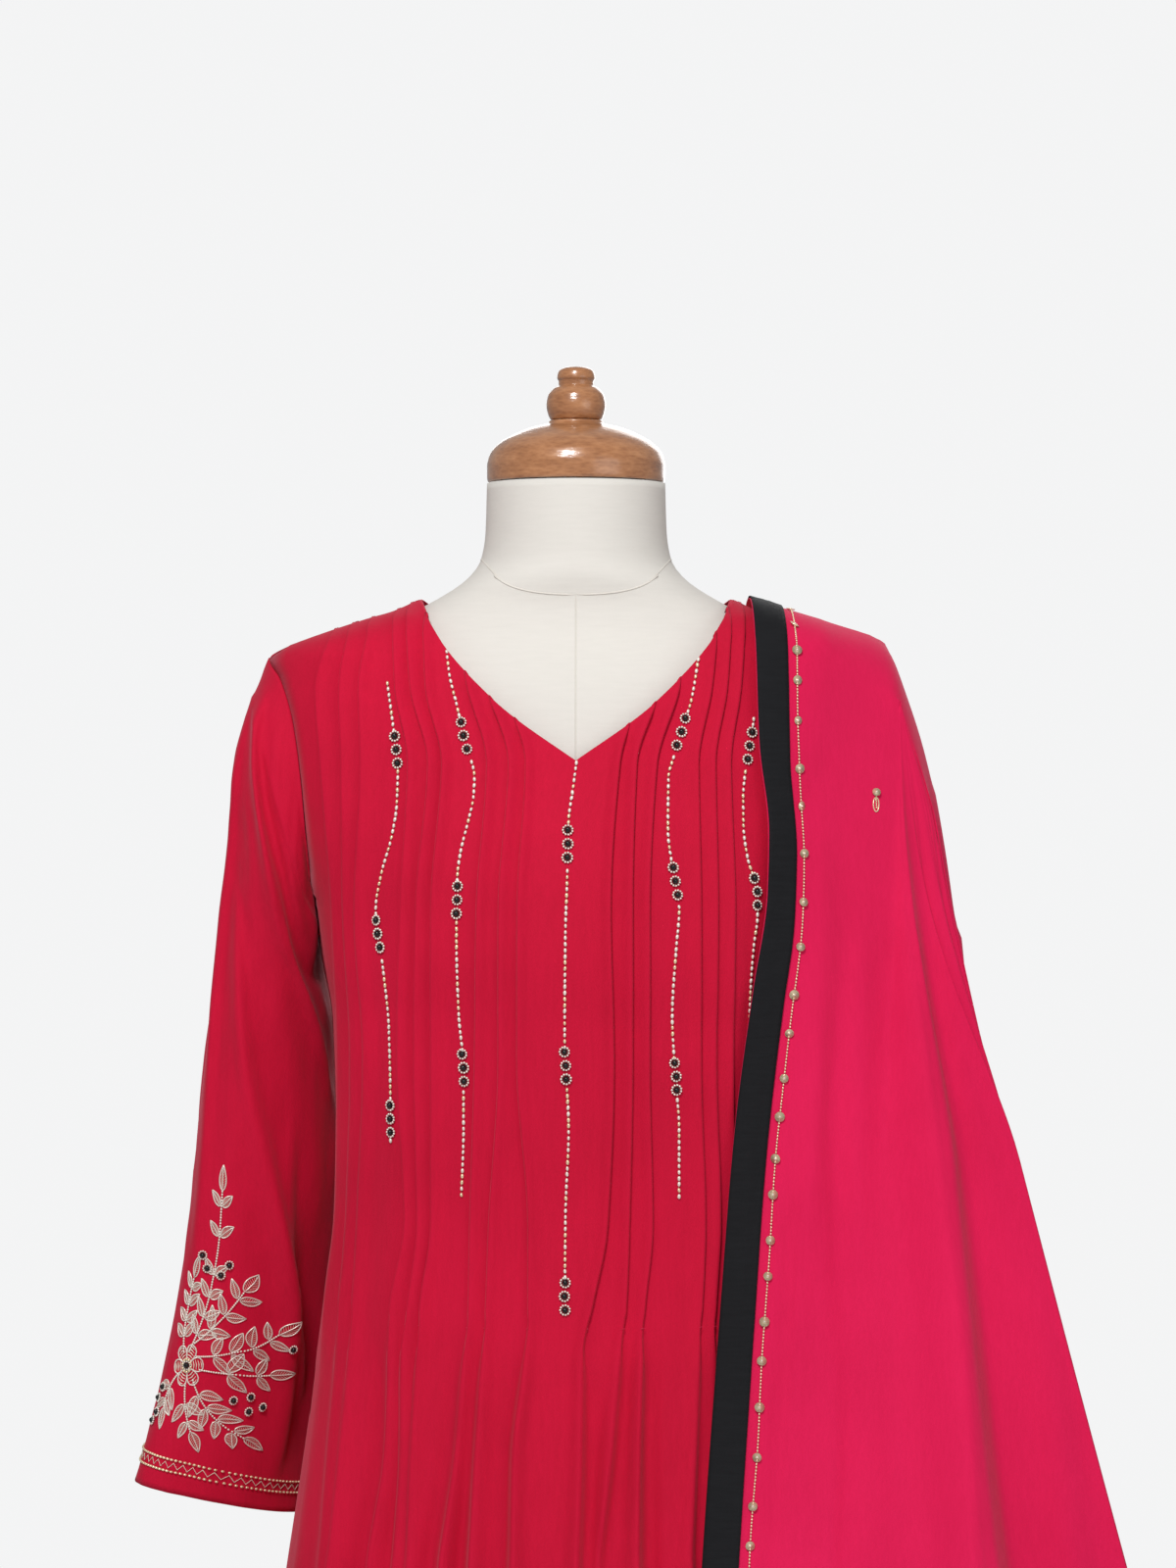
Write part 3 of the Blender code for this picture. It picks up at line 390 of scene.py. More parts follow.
class Drape:
    """Half of the dupatta, in front of the shoulder or behind it."""

    def __init__(self, front):
        self.front = front
        self.side = -1.0 if front else 1.0
        self.length = DUPATTA_FRONT if front else DUPATTA_BACK
        self.corner = FRONT_CORNER if front else BACK_CORNER
        self.fan = FRONT_FAN if front else BACK_FAN
        self.edge = NECK_EDGE if front else BACK_NECK_EDGE
        self.border_path = self.neck_path()
        self.over = 0.060 if front else 0.088

    def neck_path(self):
        """Points with their length along the neck edge, hanging free below the fullest place."""
        points, reach, run = [], 0.0, 0.0
        z = seam_height(read(self.edge, 1.42)) + LIFT
        last = None
        while run < self.length + 0.02:
            x = read(self.edge, z)
            body = depth_at(KAMEEZ, x, z - LIFT, self.front) if z - LIFT < seam_height(x) else 0.0
            clear = DRAPE_CLEAR + 0.014 * smooth((0.95 - z) / 0.5)
            reach = max(reach, body + clear * smooth(body / 0.02))
            here = Vector((x, self.side * reach, z))
            if last is not None:
                run += (here - last).length
            points.append((run, here))
            last = here
            z -= 0.0008 if z > 1.38 else 0.004
        return points

    def along_edge(self, run):
        for (a, p), (b, q) in zip(self.border_path, self.border_path[1:]):
            if run <= b:
                return p.lerp(q, (run - a) / max(b - a, 1e-9))
        return self.border_path[-1][1]

    def direction(self, angle, fold=1.0):
        """Which way a straight line of the cloth hangs, from its angle in the flat cloth."""
        x, y = read(self.fan, angle, 1), read(self.fan, angle, 2)
        ends = self.fan[0], self.fan[-1]
        share = (angle - ends[1][0]) / (ends[0][0] - ends[1][0])
        plain_x = 0.175 + (ends[0][1] - 0.175) * share**2
        plain_y = ends[0][2] * smooth(share)
        x = plain_x + fold * (x - plain_x)
        y = plain_y + fold * (y - plain_y)
        return Vector((x, y, -1.0)).normalized()

    def tip(self, run):
        """The line between the shoulder band and the fan, from the ridge down."""
        if run <= self.over:
            top = Vector((0.2105, 0.0, 1.3985))
            share = run / self.over
            y = self.corner.y * math.sin(share * math.pi / 2) ** 1.1
            z = self.corner.z + (top.z - self.corner.z) * math.cos(share * math.pi / 2) ** 1.2
            return Vector((top.x + (self.corner.x - top.x) * share, y, z))
        past = run - self.over
        return self.corner + past * self.direction(self.fan[0][0], self.fold_at(past))

    def fold_at(self, r):
        return smooth((r - 0.015) / 0.30)

    def band(self, across, run):
        """A point between the neck edge and the tip line; across is 0 to 1."""
        p = self.along_edge(run).lerp(self.tip(run), across)
        ridge = seam_height(p.x) + LIFT if p.x < 0.206 else 1.3985
        z_body = min(p.z - LIFT, ridge - LIFT)
        body = depth_at(KAMEEZ, p.x, z_body, self.front) if z_body < seam_height(min(p.x, 0.205)) else 0.0
        clear = DRAPE_CLEAR + 0.014 * smooth((0.95 - p.z) / 0.5)
        reach = body + clear * smooth(body / 0.02)
        if abs(p.y) < reach:
            p.y = self.side * reach
        return p

    def fan_point(self, angle, share):
        """A point of the fan; share is 0 at the shoulder and 1 at the cloth's edge."""
        turn = math.radians(abs(angle))
        along = (self.length - self.over) / max(math.sin(turn), 1e-6)
        across = (DUPATTA_WIDTH - SHOULDER_BAND) / max(math.cos(turn), 1e-6)
        r = share * min(along, across)
        return self.corner + r * self.direction(angle, self.fold_at(r))

    def corner_angle(self):
        return math.degrees(math.atan2(self.length - self.over, DUPATTA_WIDTH - SHOULDER_BAND))


# ---------------------------------------------------------------- finishes
COLOR, NUMBER = "NodeSocketColor", "NodeSocketFloat"
SHADES = (("Lit", COLOR, (1, 1, 1, 1)), ("Deep", COLOR, (0, 0, 0, 1)))


def add(tree, kind, links=(), **settings):
    """A node with its settings; links are (input name or number, output socket or plain value)."""
    node = tree.nodes.new(kind)
    for key, value in settings.items():
        setattr(node, key, value)
    for socket, value in links:
        if isinstance(value, bpy.types.NodeSocket):
            tree.links.new(value, node.inputs[socket])
        else:
            node.inputs[socket].default_value = value
    return node


def own_place(tree, *stretch):
    """The piece's own coordinates, scaled along each axis where that is given."""
    place = add(tree, "ShaderNodeTexCoord").outputs["Object"]
    if not stretch:
        return place
    return add(tree, "ShaderNodeMapping", (("Vector", place), ("Scale", stretch))).outputs[0]


def cloudy(tree, place, scale, detail, rough=0.5):
    links = ("Vector", place), ("Scale", scale), ("Detail", detail), ("Roughness", rough)
    return add(tree, "ShaderNodeTexNoise", links).outputs[0]


def calculate(tree, operation, *values):
    return add(tree, "ShaderNodeMath", enumerate(values), operation=operation).outputs[0]


def shade(tree, share, deep, lit):
    return add(tree, "ShaderNodeMix", (("Factor", share), (6, deep), (7, lit)), data_type="RGBA").outputs[2]


def weave_group(name, numbers):
    """A node group with two shades and plain numbers as inputs, giving a colour and a height."""
    tree = bpy.data.node_groups.new(name, "ShaderNodeTree")
    for label, kind, value in SHADES + tuple((label, NUMBER, value) for label, value in numbers):
        tree.interface.new_socket(label, in_out="INPUT", socket_type=kind).default_value = value
    for label, kind in (("Color", COLOR), ("Height", NUMBER)):
        tree.interface.new_socket(label, in_out="OUTPUT", socket_type=kind)
    given = tree.nodes.new("NodeGroupInput").outputs
    ends = tree.nodes.new("NodeGroupOutput").inputs

    def finish(share, height):
        tree.links.new(shade(tree, share, given["Deep"], given["Lit"]), ends["Color"])
        tree.links.new(height, ends["Height"])
        return tree

    return tree, given, finish


def crepe_group():
    """Two shades that drift over the cloth, with the pebbly crepe of georgette as a height."""
    tree, given, finish = weave_group("crepe_weave", (("Thread", 900.0), ("Slub", 0.3)))
    place = own_place(tree)
    broad = cloudy(tree, place, 7.0, 3.0)
    slub = cloudy(tree, own_place(tree, 1.0, 1.0, 0.10), 420.0, 2.0)
    grain = cloudy(tree, place, given["Thread"], 2.0)
    streaks = calculate(tree, "ADD", broad, calculate(tree, "MULTIPLY", slub, given["Slub"]))
    speck = calculate(tree, "MULTIPLY_ADD", grain, 0.25, streaks)
    share = add(tree, "ShaderNodeMapRange", (("Value", speck), ("From Min", 0.45), ("From Max", 1.05)))
    return finish(share.outputs[0], calculate(tree, "MULTIPLY_ADD", slub, 0.5, grain))


def plain_weave_group():
    """Crossing threads, for linen and ribbon."""
    tree, given, finish = weave_group("plain_weave", (("Across", 900.0), ("Down", 900.0), ("Slub", 0.4)))
    place = own_place(tree)
    bands = []
    for axis, label in (("X", "Across"), ("Z", "Down")):
        links = (("Vector", place), ("Scale", given[label]), ("Distortion", 1.6), ("Detail", 1.5),
                 ("Detail Scale", 1.2))
        bands.append(add(tree, "ShaderNodeTexWave", links, bands_direction=axis).outputs["Fac"])
    slub = cloudy(tree, own_place(tree, 0.12, 0.12, 1.0), 500.0, 3.0)
    total = calculate(tree, "MULTIPLY_ADD", slub, given["Slub"], calculate(tree, "MULTIPLY", *bands))
    return finish(total, total)


CREPE = crepe_group()
WEAVE = plain_weave_group()


def surface(name, **constants):
    """A material, its node tree and its Principled shader, with the constant values set on the shader."""
    made = bpy.data.materials.new(name)
    made.use_nodes = True
    shader = made.node_tree.nodes["Principled BSDF"]
    for label, value in constants.items():
        shader.inputs[label.replace("_", " ")].default_value = value
    return made, made.node_tree, shader


def bumped(tree, shader, height, strength, distance, *sockets):
    bump = add(tree, "ShaderNodeBump", (("Strength", strength), ("Distance", distance), ("Height", height)))
    for socket in sockets:
        tree.links.new(bump.outputs[0], shader.inputs[socket])


def woven(name, weave, lit, deep, numbers, strength, distance, **constants):
    """A cloth: a weave's colour and height on a soft shader."""
    made, tree, shader = surface(name, **constants)
    values = {"Lit": (*lit, 1), "Deep": (*deep, 1), **numbers}
    node = add(tree, "ShaderNodeGroup", values.items(), node_tree=weave)
    tree.links.new(node.outputs["Color"], shader.inputs["Base Color"])
    bumped(tree, shader, node.outputs["Height"], strength, distance, "Normal")
    return made


def georgette(name, lit, deep, thread):
    return woven(name, CREPE, lit, deep, {"Thread": thread, "Slub": 0.35}, 0.30, 0.0006, Roughness=0.80,
                 Sheen_Weight=0.14, Sheen_Roughness=0.45, Sheen_Tint=(1.0, 0.45, 0.55, 1.0),
                 Specular_IOR_Level=0.16)


def varnished_wood():
    made, tree, shader = surface("varnished_wood_grain", Roughness=0.28, Coat_Weight=0.7,
                                 Coat_Roughness=0.12)
    place = own_place(tree, 1.0, 1.0, 3.2)
    blotch = cloudy(tree, place, 55.0, 6.0, 0.65)
    fleck = add(tree, "ShaderNodeTexVoronoi", (("Vector", place), ("Scale", 190.0))).outputs["Distance"]
    grain = calculate(tree, "MULTIPLY_ADD", fleck, 0.25, blotch)
    ramp = add(tree, "ShaderNodeValToRGB", ((0, grain),))
    stops = ramp.color_ramp.elements
    stops[0].position, stops[0].color = 0.38, (0.27, 0.105, 0.040, 1)
    stops[1].position, stops[1].color = 0.86, (0.50, 0.230, 0.102, 1)
    stops.new(0.6).color = (0.385, 0.162, 0.066, 1)
    tree.links.new(ramp.outputs[0], shader.inputs["Base Color"])
    bumped(tree, shader, grain, 0.35, 0.0008, "Normal", "Coat Normal")
    return made


def mottled(name, dark, light, scale, roughness, **constants):
    """A hard finish whose colour and roughness vary a little over the surface."""
    made, tree, shader = surface(name, Roughness=roughness, **constants)
    cloud = cloudy(tree, own_place(tree), scale, 4.0)
    tree.links.new(shade(tree, cloud, (*dark, 1), (*light, 1)), shader.inputs["Base Color"])
    links = ("Value", cloud), ("To Min", roughness * 0.8), ("To Max", roughness * 1.3)
    tree.links.new(add(tree, "ShaderNodeMapRange", links).outputs[0], shader.inputs["Roughness"])
    return made


KAMEEZ_CLOTH = georgette("crimson_georgette_weave", (0.610, 0.0036, 0.038), (0.470, 0.0022, 0.026), 1100.0)
DUPATTA_CLOTH = georgette("dupatta_georgette_weave", (0.760, 0.0095, 0.088), (0.640, 0.0060, 0.066), 1300.0)
RIBBON_CLOTH = woven("black_ribbon_weave", WEAVE, (0.013, 0.0135, 0.016), (0.003, 0.003, 0.004),
                     {"Across": 500.0, "Down": 620.0, "Slub": 0.7}, 0.5, 0.0005,
                     Roughness=0.72, Specular_IOR_Level=0.18)
LINEN = woven("form_linen", WEAVE, (0.80, 0.765, 0.715), (0.69, 0.66, 0.61),
              {"Across": 560.0, "Down": 560.0, "Slub": 0.5}, 0.35, 0.0004,
              Roughness=0.9, Specular_IOR_Level=0.15)
WOOD = varnished_wood()
STEEL = mottled("satin_black_steel", (0.020, 0.020, 0.022), (0.034, 0.034, 0.037), 30.0, 0.38, Metallic=0.6)
GOLD = mottled("gold_bead_finish", (0.76, 0.58, 0.34), (0.98, 0.84, 0.60), 700.0, 0.26, Metallic=0.5)
SILVER = mottled("silver_bead_finish", (0.74, 0.66, 0.57), (0.96, 0.91, 0.85), 700.0, 0.28, Metallic=0.3)
BLACK = mottled("black_bead_finish", (0.004, 0.004, 0.005), (0.009, 0.009, 0.010), 400.0, 0.16,
                Specular_IOR_Level=0.35)
THREAD = mottled("metal_thread_finish", (0.72, 0.60, 0.48), (0.95, 0.87, 0.76), 900.0, 0.45, Metallic=0.15)
SEAM_THREAD = mottled("linen_seam_thread", (0.66, 0.62, 0.56), (0.76, 0.72, 0.66), 800.0, 0.9)
PINK_THREAD = mottled("crimson_stitch_thread", (0.50, 0.006, 0.04), (0.72, 0.03, 0.10), 800.0, 0.6)


# ---------------------------------------------------------------- making pieces
def grid(bm, columns, rows, place):
    """Adds a grid of faces whose points are where place(column, row) says."""
    laid = bmesh.ops.create_grid(bm, x_segments=columns - 1, y_segments=rows - 1, size=0.5)["verts"]
    for vert in laid:
        vert.co = place(round((vert.co.x + 0.5) * (columns - 1)), round((vert.co.y + 0.5) * (rows - 1)))
    return laid


def one_grid(columns, rows, place):
    bm = bmesh.new()
    grid(bm, columns, rows, place)
    return bm


def into_scene(name, data):
    obj = bpy.data.objects.new(name, data)
    bpy.context.scene.collection.objects.link(obj)
    return obj


def to_object(name, bm, material, slot):
    mesh = bpy.data.meshes.new(name)
    bm.to_mesh(mesh)
    bm.free()
    mesh.materials.append(material)
    mesh.shade_smooth()
    obj = into_scene(name, mesh)
    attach(obj, "root")
    return obj


def face_out(bm, outward):
    bmesh.ops.remove_doubles(bm, verts=bm.verts, dist=SAME_POINT)
    bmesh.ops.recalc_face_normals(bm, faces=bm.faces)
    lean = sum(face.normal.dot(outward(face.calc_center_median())) * face.calc_area() for face in bm.faces)
    if lean < 0:
        bmesh.ops.reverse_faces(bm, faces=bm.faces)


def from_middle(p):
    """Outward from the line up the middle of the form."""
    return Vector((p.x, p.y, 0))


def cloth(name, bm, outward, material, slot, node, thick=0.0006):
    """A finished cloth piece: the grid's shell, thickened inwards, in place of its CAD solid."""
    face_out(bm, outward)
    obj = to_object(name, bm, material, slot)
    solidify = obj.modifiers.new("wall", "SOLIDIFY")
    solidify.thickness = thick
    solidify.offset = -1.0
    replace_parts(obj, node)
    return obj


def crimson_piece(name, bm, outward, node):
    """A piece of the kameez or the salwar, which are cut from one georgette."""
    return cloth(name, bm, outward, KAMEEZ_CLOTH, "crimson_georgette", node)


class Surface:
    """Finds points on the front of a cloth piece, to lay trimmings on it."""

    def __init__(self, obj):
        graph = bpy.context.evaluated_depsgraph_get()
        self.tree = BVHTree.FromObject(obj, graph)

    def front(self, x, z):
        """Point and outward normal where a line from the front meets the cloth."""
        point, normal, _, _ = self.tree.ray_cast(Vector((x, -1.5, z)), Vector((0, 1, 0)))
        return point, normal


def frame_on(point, normal, along):
    """A matrix whose Z is the normal and whose Y runs along a direction on the surface."""
    normal = normal.normalized()
    across = along.cross(normal).normalized()
    along = normal.cross(across)
    turned = Matrix((across, along, normal)).transposed().to_4x4()
    turned.translation = point
    return turned


def bead(bm, matrix, radii, round_steps=6, rings=4):
    bmesh.ops.create_uvsphere(bm, u_segments=round_steps, v_segments=rings, radius=1.0,
                              matrix=matrix @ Matrix.Diagonal((*radii, 1.0)))


def path_points(rows, step):
    """Evenly spaced (x, z, way down) along a smooth line through (x, z) rows, from its top."""
    table = tuple((z, x) for x, z in rows)
    top, bottom = max(r[0] for r in table), min(r[0] for r in table)
    z, found, run, due = top, [], 0.0, 0.0
    last = (read(table, z), z)
    while z > bottom:
        z -= 0.0004
        here = (read(table, z), z)
        run += math.hypot(here[0] - last[0], here[1] - last[1])
        if run >= due:
            found.append((here[0], here[1], Vector((here[0] - last[0], 0, here[1] - last[1])).normalized()))
            due += step
        last = here
    return found


# ---------------------------------------------------------------- kameez
TOP_TURN_IN = (0.0026, 0.0010, 0.0)  # how far the first rows go in under the neck and shoulder edges
SIDE_TURN_IN = 0.0065
COLUMN_PITCH = 0.0042  # widest spacing of the front's columns between tucks
SEAM_ALLOWANCE = 0.0016


def signed(tuck):
    return math.copysign(1.0, tuck[2])


def tuck_opened(z, over=0.05):
    """0 where the tucks are stitched, 1 where they hang open."""
    return smooth((TUCK_END + 0.004 - z) / over)


def edged(x, z, front, out, row, at_side):
    """A point of the kameez, turned in along the cloth's top and sides."""
    p = skin(x, z, front, out - (TOP_TURN_IN[min(row, 2)] + (SIDE_TURN_IN if at_side else 0.0)))
    if row == 1:
        p.z += 0.0006
    return p


def open_folds(x, z):
    """Below the stitching the tucks open into soft folds of their own depths."""
    opened = 0.42 * tuck_opened(z) + 0.58 * tuck_opened(z, 0.32)
    if opened <= 0:
        return 0.0
    deep = 0.0
    for number, tuck in enumerate(TUCKS):
        middle, sign = tuck_x(tuck, z), signed(tuck)
        gap = sign * (x - middle)
        spread = 0.0042 + 0.0045 * smooth((TUCK_END - z) / 0.5)
        share = hump(gap, spread * (0.55 if gap > 0 else 1.25))
        trough = hump(gap - 1.9 * spread, 1.1 * spread)
        sway = 1 + 0.3 * waver(number * 3.1, z * 6.0, 0.0)
        deep += tuck[1] * (1.02 * sway * share - 0.64 * trough)
    return deep * opened


def drift(x, z, front):
    """The soft unevenness of the worn cloth, more of it lower down."""
    down = smooth((1.36 - z) / 0.25)
    low = smooth((0.98 - z) / 0.5)
    side = 11.0 if front else 37.0
    broad = waver(x * 9.0, z * 3.2, side)
    narrow = waver(x * 34.0 + 2.0 * z, z * 4.5, side + 5)
    pull = waver(x * 14.0, z * 38.0, side + 9)
    wide = 0.0016 * down + 0.0040 * low
    return wide * broad + (0.0007 * down + 0.0022 * low) * narrow + 0.0004 * down * pull


# across a stitched tuck: distance from its line, height as a share of TUCK_HEIGHT
TUCK_PROFILE = (
    (-0.0078, 0.00), (-0.0058, 0.22), (-0.0034, 0.62), (-0.0014, 0.95), (0.0000, 1.02), (0.0007, 0.70),
    (0.0002, 0.34), (-0.0012, 0.12), (0.0008, -0.04),
)
# when the fold is open its columns stand in this order instead
OPEN_PROFILE = (-0.0080, -0.0060, -0.0038, -0.0018, 0.0000, 0.0016, 0.0030, 0.0044, 0.0062)


def front_columns():
    """For every column of the front: its place at a height, and how far it stands out there."""
    marks = [(tuck, signed(tuck), across, wide, up) for tuck in TUCKS
             for (across, up), wide in zip(TUCK_PROFILE, OPEN_PROFILE)]
    marks.sort(key=lambda m: (tuck_x(m[0], 1.219), m[1] * m[3]))

    def place_of(mark):
        tuck, sign, across, wide, _ = mark

        def place(z):
            opened = tuck_opened(z)
            room = 1 + 0.4 * smooth((TUCK_END - z) / 0.5)
            return tuck_x(tuck, z) + sign * (across + opened * (wide * room - across))
        return place

    def depth_of(mark):
        tuck, _, _, _, up = mark
        start = top_of(lambda q: tuck_x(tuck, q), True)
        puff = 1 + 0.18 * math.sin(40 * tuck[2])

        def depth(z):
            return up * TUCK_HEIGHT * puff * (1 - tuck_opened(z)) * smooth((start - z + 0.002) / 0.012)
        return depth

    def between(a, b, share):
        return lambda z: a(z) + share * (b(z) - a(z))

    def edge(sign, past=0.0):
        return lambda z: sign * (panel_half(z, True) + past)

    plain = [(edge(-1), None)] + [(place_of(m), depth_of(m)) for m in marks] + [(edge(1), None)]
    columns = [(edge(-1, SEAM_ALLOWANCE), None)]
    for (a, lift), (b, _) in zip(plain, plain[1:]):
        extra = int(abs(b(1.15) - a(1.15)) / COLUMN_PITCH)
        columns.append((a, lift))
        columns += [(between(a, b, i / (extra + 1)), None) for i in range(1, extra + 1)]
    return columns + [plain[-1], (edge(1, SEAM_ALLOWANCE), None)]


FRONT_ROWS, FRONT_UPPER = 176, 60


def make_front():
    columns = front_columns()
    tops = [top_of(place, True) for place, _ in columns]
    sorted_at = {}

    def place_at(column, z):
        """Where the tucks are open the columns are put back in order across the cloth."""
        if z >= UNDERARM:
            return columns[column][0](z)
        if z not in sorted_at:
            plain = [place(z) for place, _ in columns]
            order = plain[:1] + sorted(plain[1:-1]) + plain[-1:]
            opened = smooth((TUCK_END + 0.012 - z) / 0.012)
            sorted_at[z] = [a + opened * (b - a) for a, b in zip(plain, order)]
        return sorted_at[z][column]

    def point(column, row):
        lift = columns[column][1]
        z = row_height(tops[column], max(row - 2, 0), FRONT_ROWS, FRONT_UPPER)
        x = place_at(column, z)
        rim = smooth((panel_half(z, True) - abs(x)) / 0.02)
        out = (lift(z) if lift else 0.0) + rim * (open_folds(x, z) + drift(x, z, True))
        return edged(x, z, True, out, row, column in (0, len(columns) - 1))

    bm = one_grid(len(columns), FRONT_ROWS + 1, point)
    return crimson_piece("kameez_front_cloth", bm, lambda p: Vector((0, -1, 0.1)), "kameez_front")


def back_folds(angle, z):
    deep = 0.0
    for number, (middle, waist, hem) in enumerate(BACK_FOLDS):
        bend = 3.0 * waver(number * 2.7, z * 3.0, 1.0)
        gap = angle - middle - bend
        near = hump(gap, 6.5 if gap < 0 else 4.0)
        dip = hump(gap - 9.0, 6.0)
        amount = waist * smooth((1.15 - z) / 0.2) + (hem - waist) * smooth((0.95 - z) / 0.6)
        deep += 1.5 * amount * (near - 0.35 * dip)
    return deep


def make_back():
    turns = [-90.0] + [-90 + 180 * i / 150 for i in range(151)] + [90.0]
    rows, upper = 150, 48

    def place(turn):
        share = signed_power(math.sin(math.radians(turn)), 2 / ROUNDNESS)
        return lambda z: panel_half(z, False) * share

    tops = [top_of(place(turn), False) for turn in turns]

    def point(column, row):
        z = row_height(tops[column], max(row - 2, 0), rows, upper)
        angle = turns[column]
        x = place(angle)(z)
        rim = smooth((90 - abs(angle)) / 8)
        out = rim * (back_folds(angle, z) + drift(x, z, False))
        at_side = column in (0, len(turns) - 1)
        return edged(x * 1.008 if at_side else x, z, False, out, row, at_side)

    bm = one_grid(len(turns), rows + 1, point)
    crimson_piece("kameez_back_cloth", bm, lambda p: Vector((0, 1, 0.1)), "kameez_back")


# ---------------------------------------------------------------- sleeves
# turn share at the top, at the bottom, ring share from, to, height of the crease, width in turn share
SLEEVE_CREASES = (
    (0.10, 0.30, 0.04, 0.40, 0.0072, 0.022),
    (0.22, 0.42, 0.22, 0.52, 0.0061, 0.018),
    (0.13, 0.40, 0.38, 0.86, 0.0075, 0.020),
    (0.05, 0.12, 0.10, 0.75, 0.0049, 0.026),
    (0.30, 0.36, 0.55, 0.98, 0.0052, 0.020),
    (0.46, 0.40, 0.05, 0.36, 0.0064, 0.024),
    (0.44, 0.47, 0.50, 0.95, 0.0043, 0.022),
    (0.56, 0.62, 0.12, 0.60, 0.0064, 0.024),
    (0.66, 0.58, 0.45, 0.92, 0.0058, 0.022),
    (0.78, 0.70, 0.08, 0.50, 0.0067, 0.024),
    (0.86, 0.80, 0.40, 0.95, 0.0052, 0.024),
    (0.93, 0.97, 0.15, 0.65, 0.0046, 0.024),
)


ARMHOLE_GAP = 0.0008  # from the armhole's edge to the sleeve sewn to it


def sleeve_creases(turn, down, seed):
    """How far the creases stand out, steeper on one side."""
    deep = 0.0
    for number, (first, last, start, end, height, width) in enumerate(SLEEVE_CREASES):
        if not start < down < end:
            continue
        share = (down - start) / (end - start)
        bend = 0.016 * waver(number * 1.9 + seed, share * 2.5, 0.0)
        gap = (turn - (first + (last - first) * share) - bend + 0.5) % 1.0 - 0.5
        side = 0.55 if gap > 0 else 1.5
        swell = math.sin(math.pi * share) ** 0.6
        deep += height * swell * (hump(gap, width * side) - 0.4 * hump(gap - 0.05, 0.035))
    return deep


class Sleeve:
    """The surface of a sleeve: turn runs round it from its outer edge to the front, down to the cuff."""

    def __init__(self, table, sign):
        self.table, self.sign = table, sign
        self.loop = armhole_loop(sign, FRONT_UPPER)
        self.loop = [p + Vector((sign * ARMHOLE_GAP, 0, 0)) for p in self.loop]
        self.rows = {}

    def armhole(self, turn):
        at = (turn % 1.0) * len(self.loop)
        i = int(at)
        return self.loop[i % len(self.loop)].lerp(self.loop[(i + 1) % len(self.loop)], at - i)

    def ring_point(self, number, turn):
        """A point between two rings of the table, and the row it lies on."""
        if number not in self.rows:
            keyed = [(k, *row) for k, row in enumerate(self.table)]
            self.rows[number] = [read(keyed, number, column) for column in range(1, 8)]
        return sleeve_point(self.rows[number], turn), self.rows[number]

    def point(self, turn, down, out=0.0):
        rings = len(self.table)
        number = down * rings - 1
        if number <= 0:
            first, row = self.ring_point(0, turn)
            p = self.armhole(turn).lerp(first, number + 1)
        else:
            p, row = self.ring_point(number, turn)
        middle = (Vector(row[0:3]) + Vector(row[3:6])) / 2
        away = p - middle
        away.z = 0
        away.normalize()
        seed = 0.0 if self.sign < 0 else 7.0
        rise = smooth(down / 0.10)
        calm = 1 - 0.75 * smooth((down - 0.9) / 0.1)
        fold = sleeve_creases(turn % 1.0, down, seed) * calm
        c, s = math.cos(math.tau * turn), math.sin(math.tau * turn)
        soft = 0.0030 * waver(c * 1.3, s * 1.3, down * 7 + seed)
        fine = 0.0009 * waver(c * 5, s * 5, down * 20 + seed)
        return p + away * (rise * (fold + soft + fine) + out)


def sleeve_point(row, turn):
    outer, inner, half_depth = Vector(row[0:3]), Vector(row[3:6]), row[6]
    middle, across = (outer + inner) / 2, (outer - inner) / 2
    c, s = math.cos(math.tau * turn), math.sin(math.tau * turn)
    along = -signed_power(s, BOXY)
    return middle + across * signed_power(c, BOXY) + Vector((0, half_depth * along, 0))


def make_sleeve(name, sleeve, node):
    around, down = 112, 130

    def point(column, row):
        share = min(max(row - 1, 0) / (down - 4), 1.0)
        turned_in = {0: 0.0060, down - 2: 0.0012, down - 1: 0.0030}.get(row, 0.0)
        p = sleeve.point((column % around) / around, share, -turned_in)
        if row == 0:
            p.x -= sleeve.sign * 0.0022
        if row == down - 1:
            p.z += 0.006
        return p

    bm = one_grid(around + 1, down, point)
    middles = [(Vector(r[0:3]) + Vector(r[3:6])) / 2 for r in sleeve.table]

    def outward(p):
        nearest = min(middles, key=lambda m: abs(m.z - p.z))
        return Vector((p.x - nearest.x, p.y - nearest.y, 0))

    crimson_piece(name, bm, outward, node)


# ---------------------------------------------------------------- salwar
def make_belt():
    count, rows = 120, 8

    def point(column, row):
        turn = math.tau * (column % count) / count
        z = BELT_TOP + (BELT_FOOT - BELT_TOP) * row / (rows - 1)
        c, s = math.cos(turn), math.sin(turn)
        gather = 0.0008 * math.cos(60 * turn)
        x = (BELT_HALF + gather) * signed_power(s, BOXY)
        y = -(BELT_DEEP + gather) * signed_power(c, BOXY)
        return Vector((x, y, z))

    bm = one_grid(count + 1, rows, point)
    crimson_piece("salwar_belt_cloth", bm, from_middle, "salwar_belt")


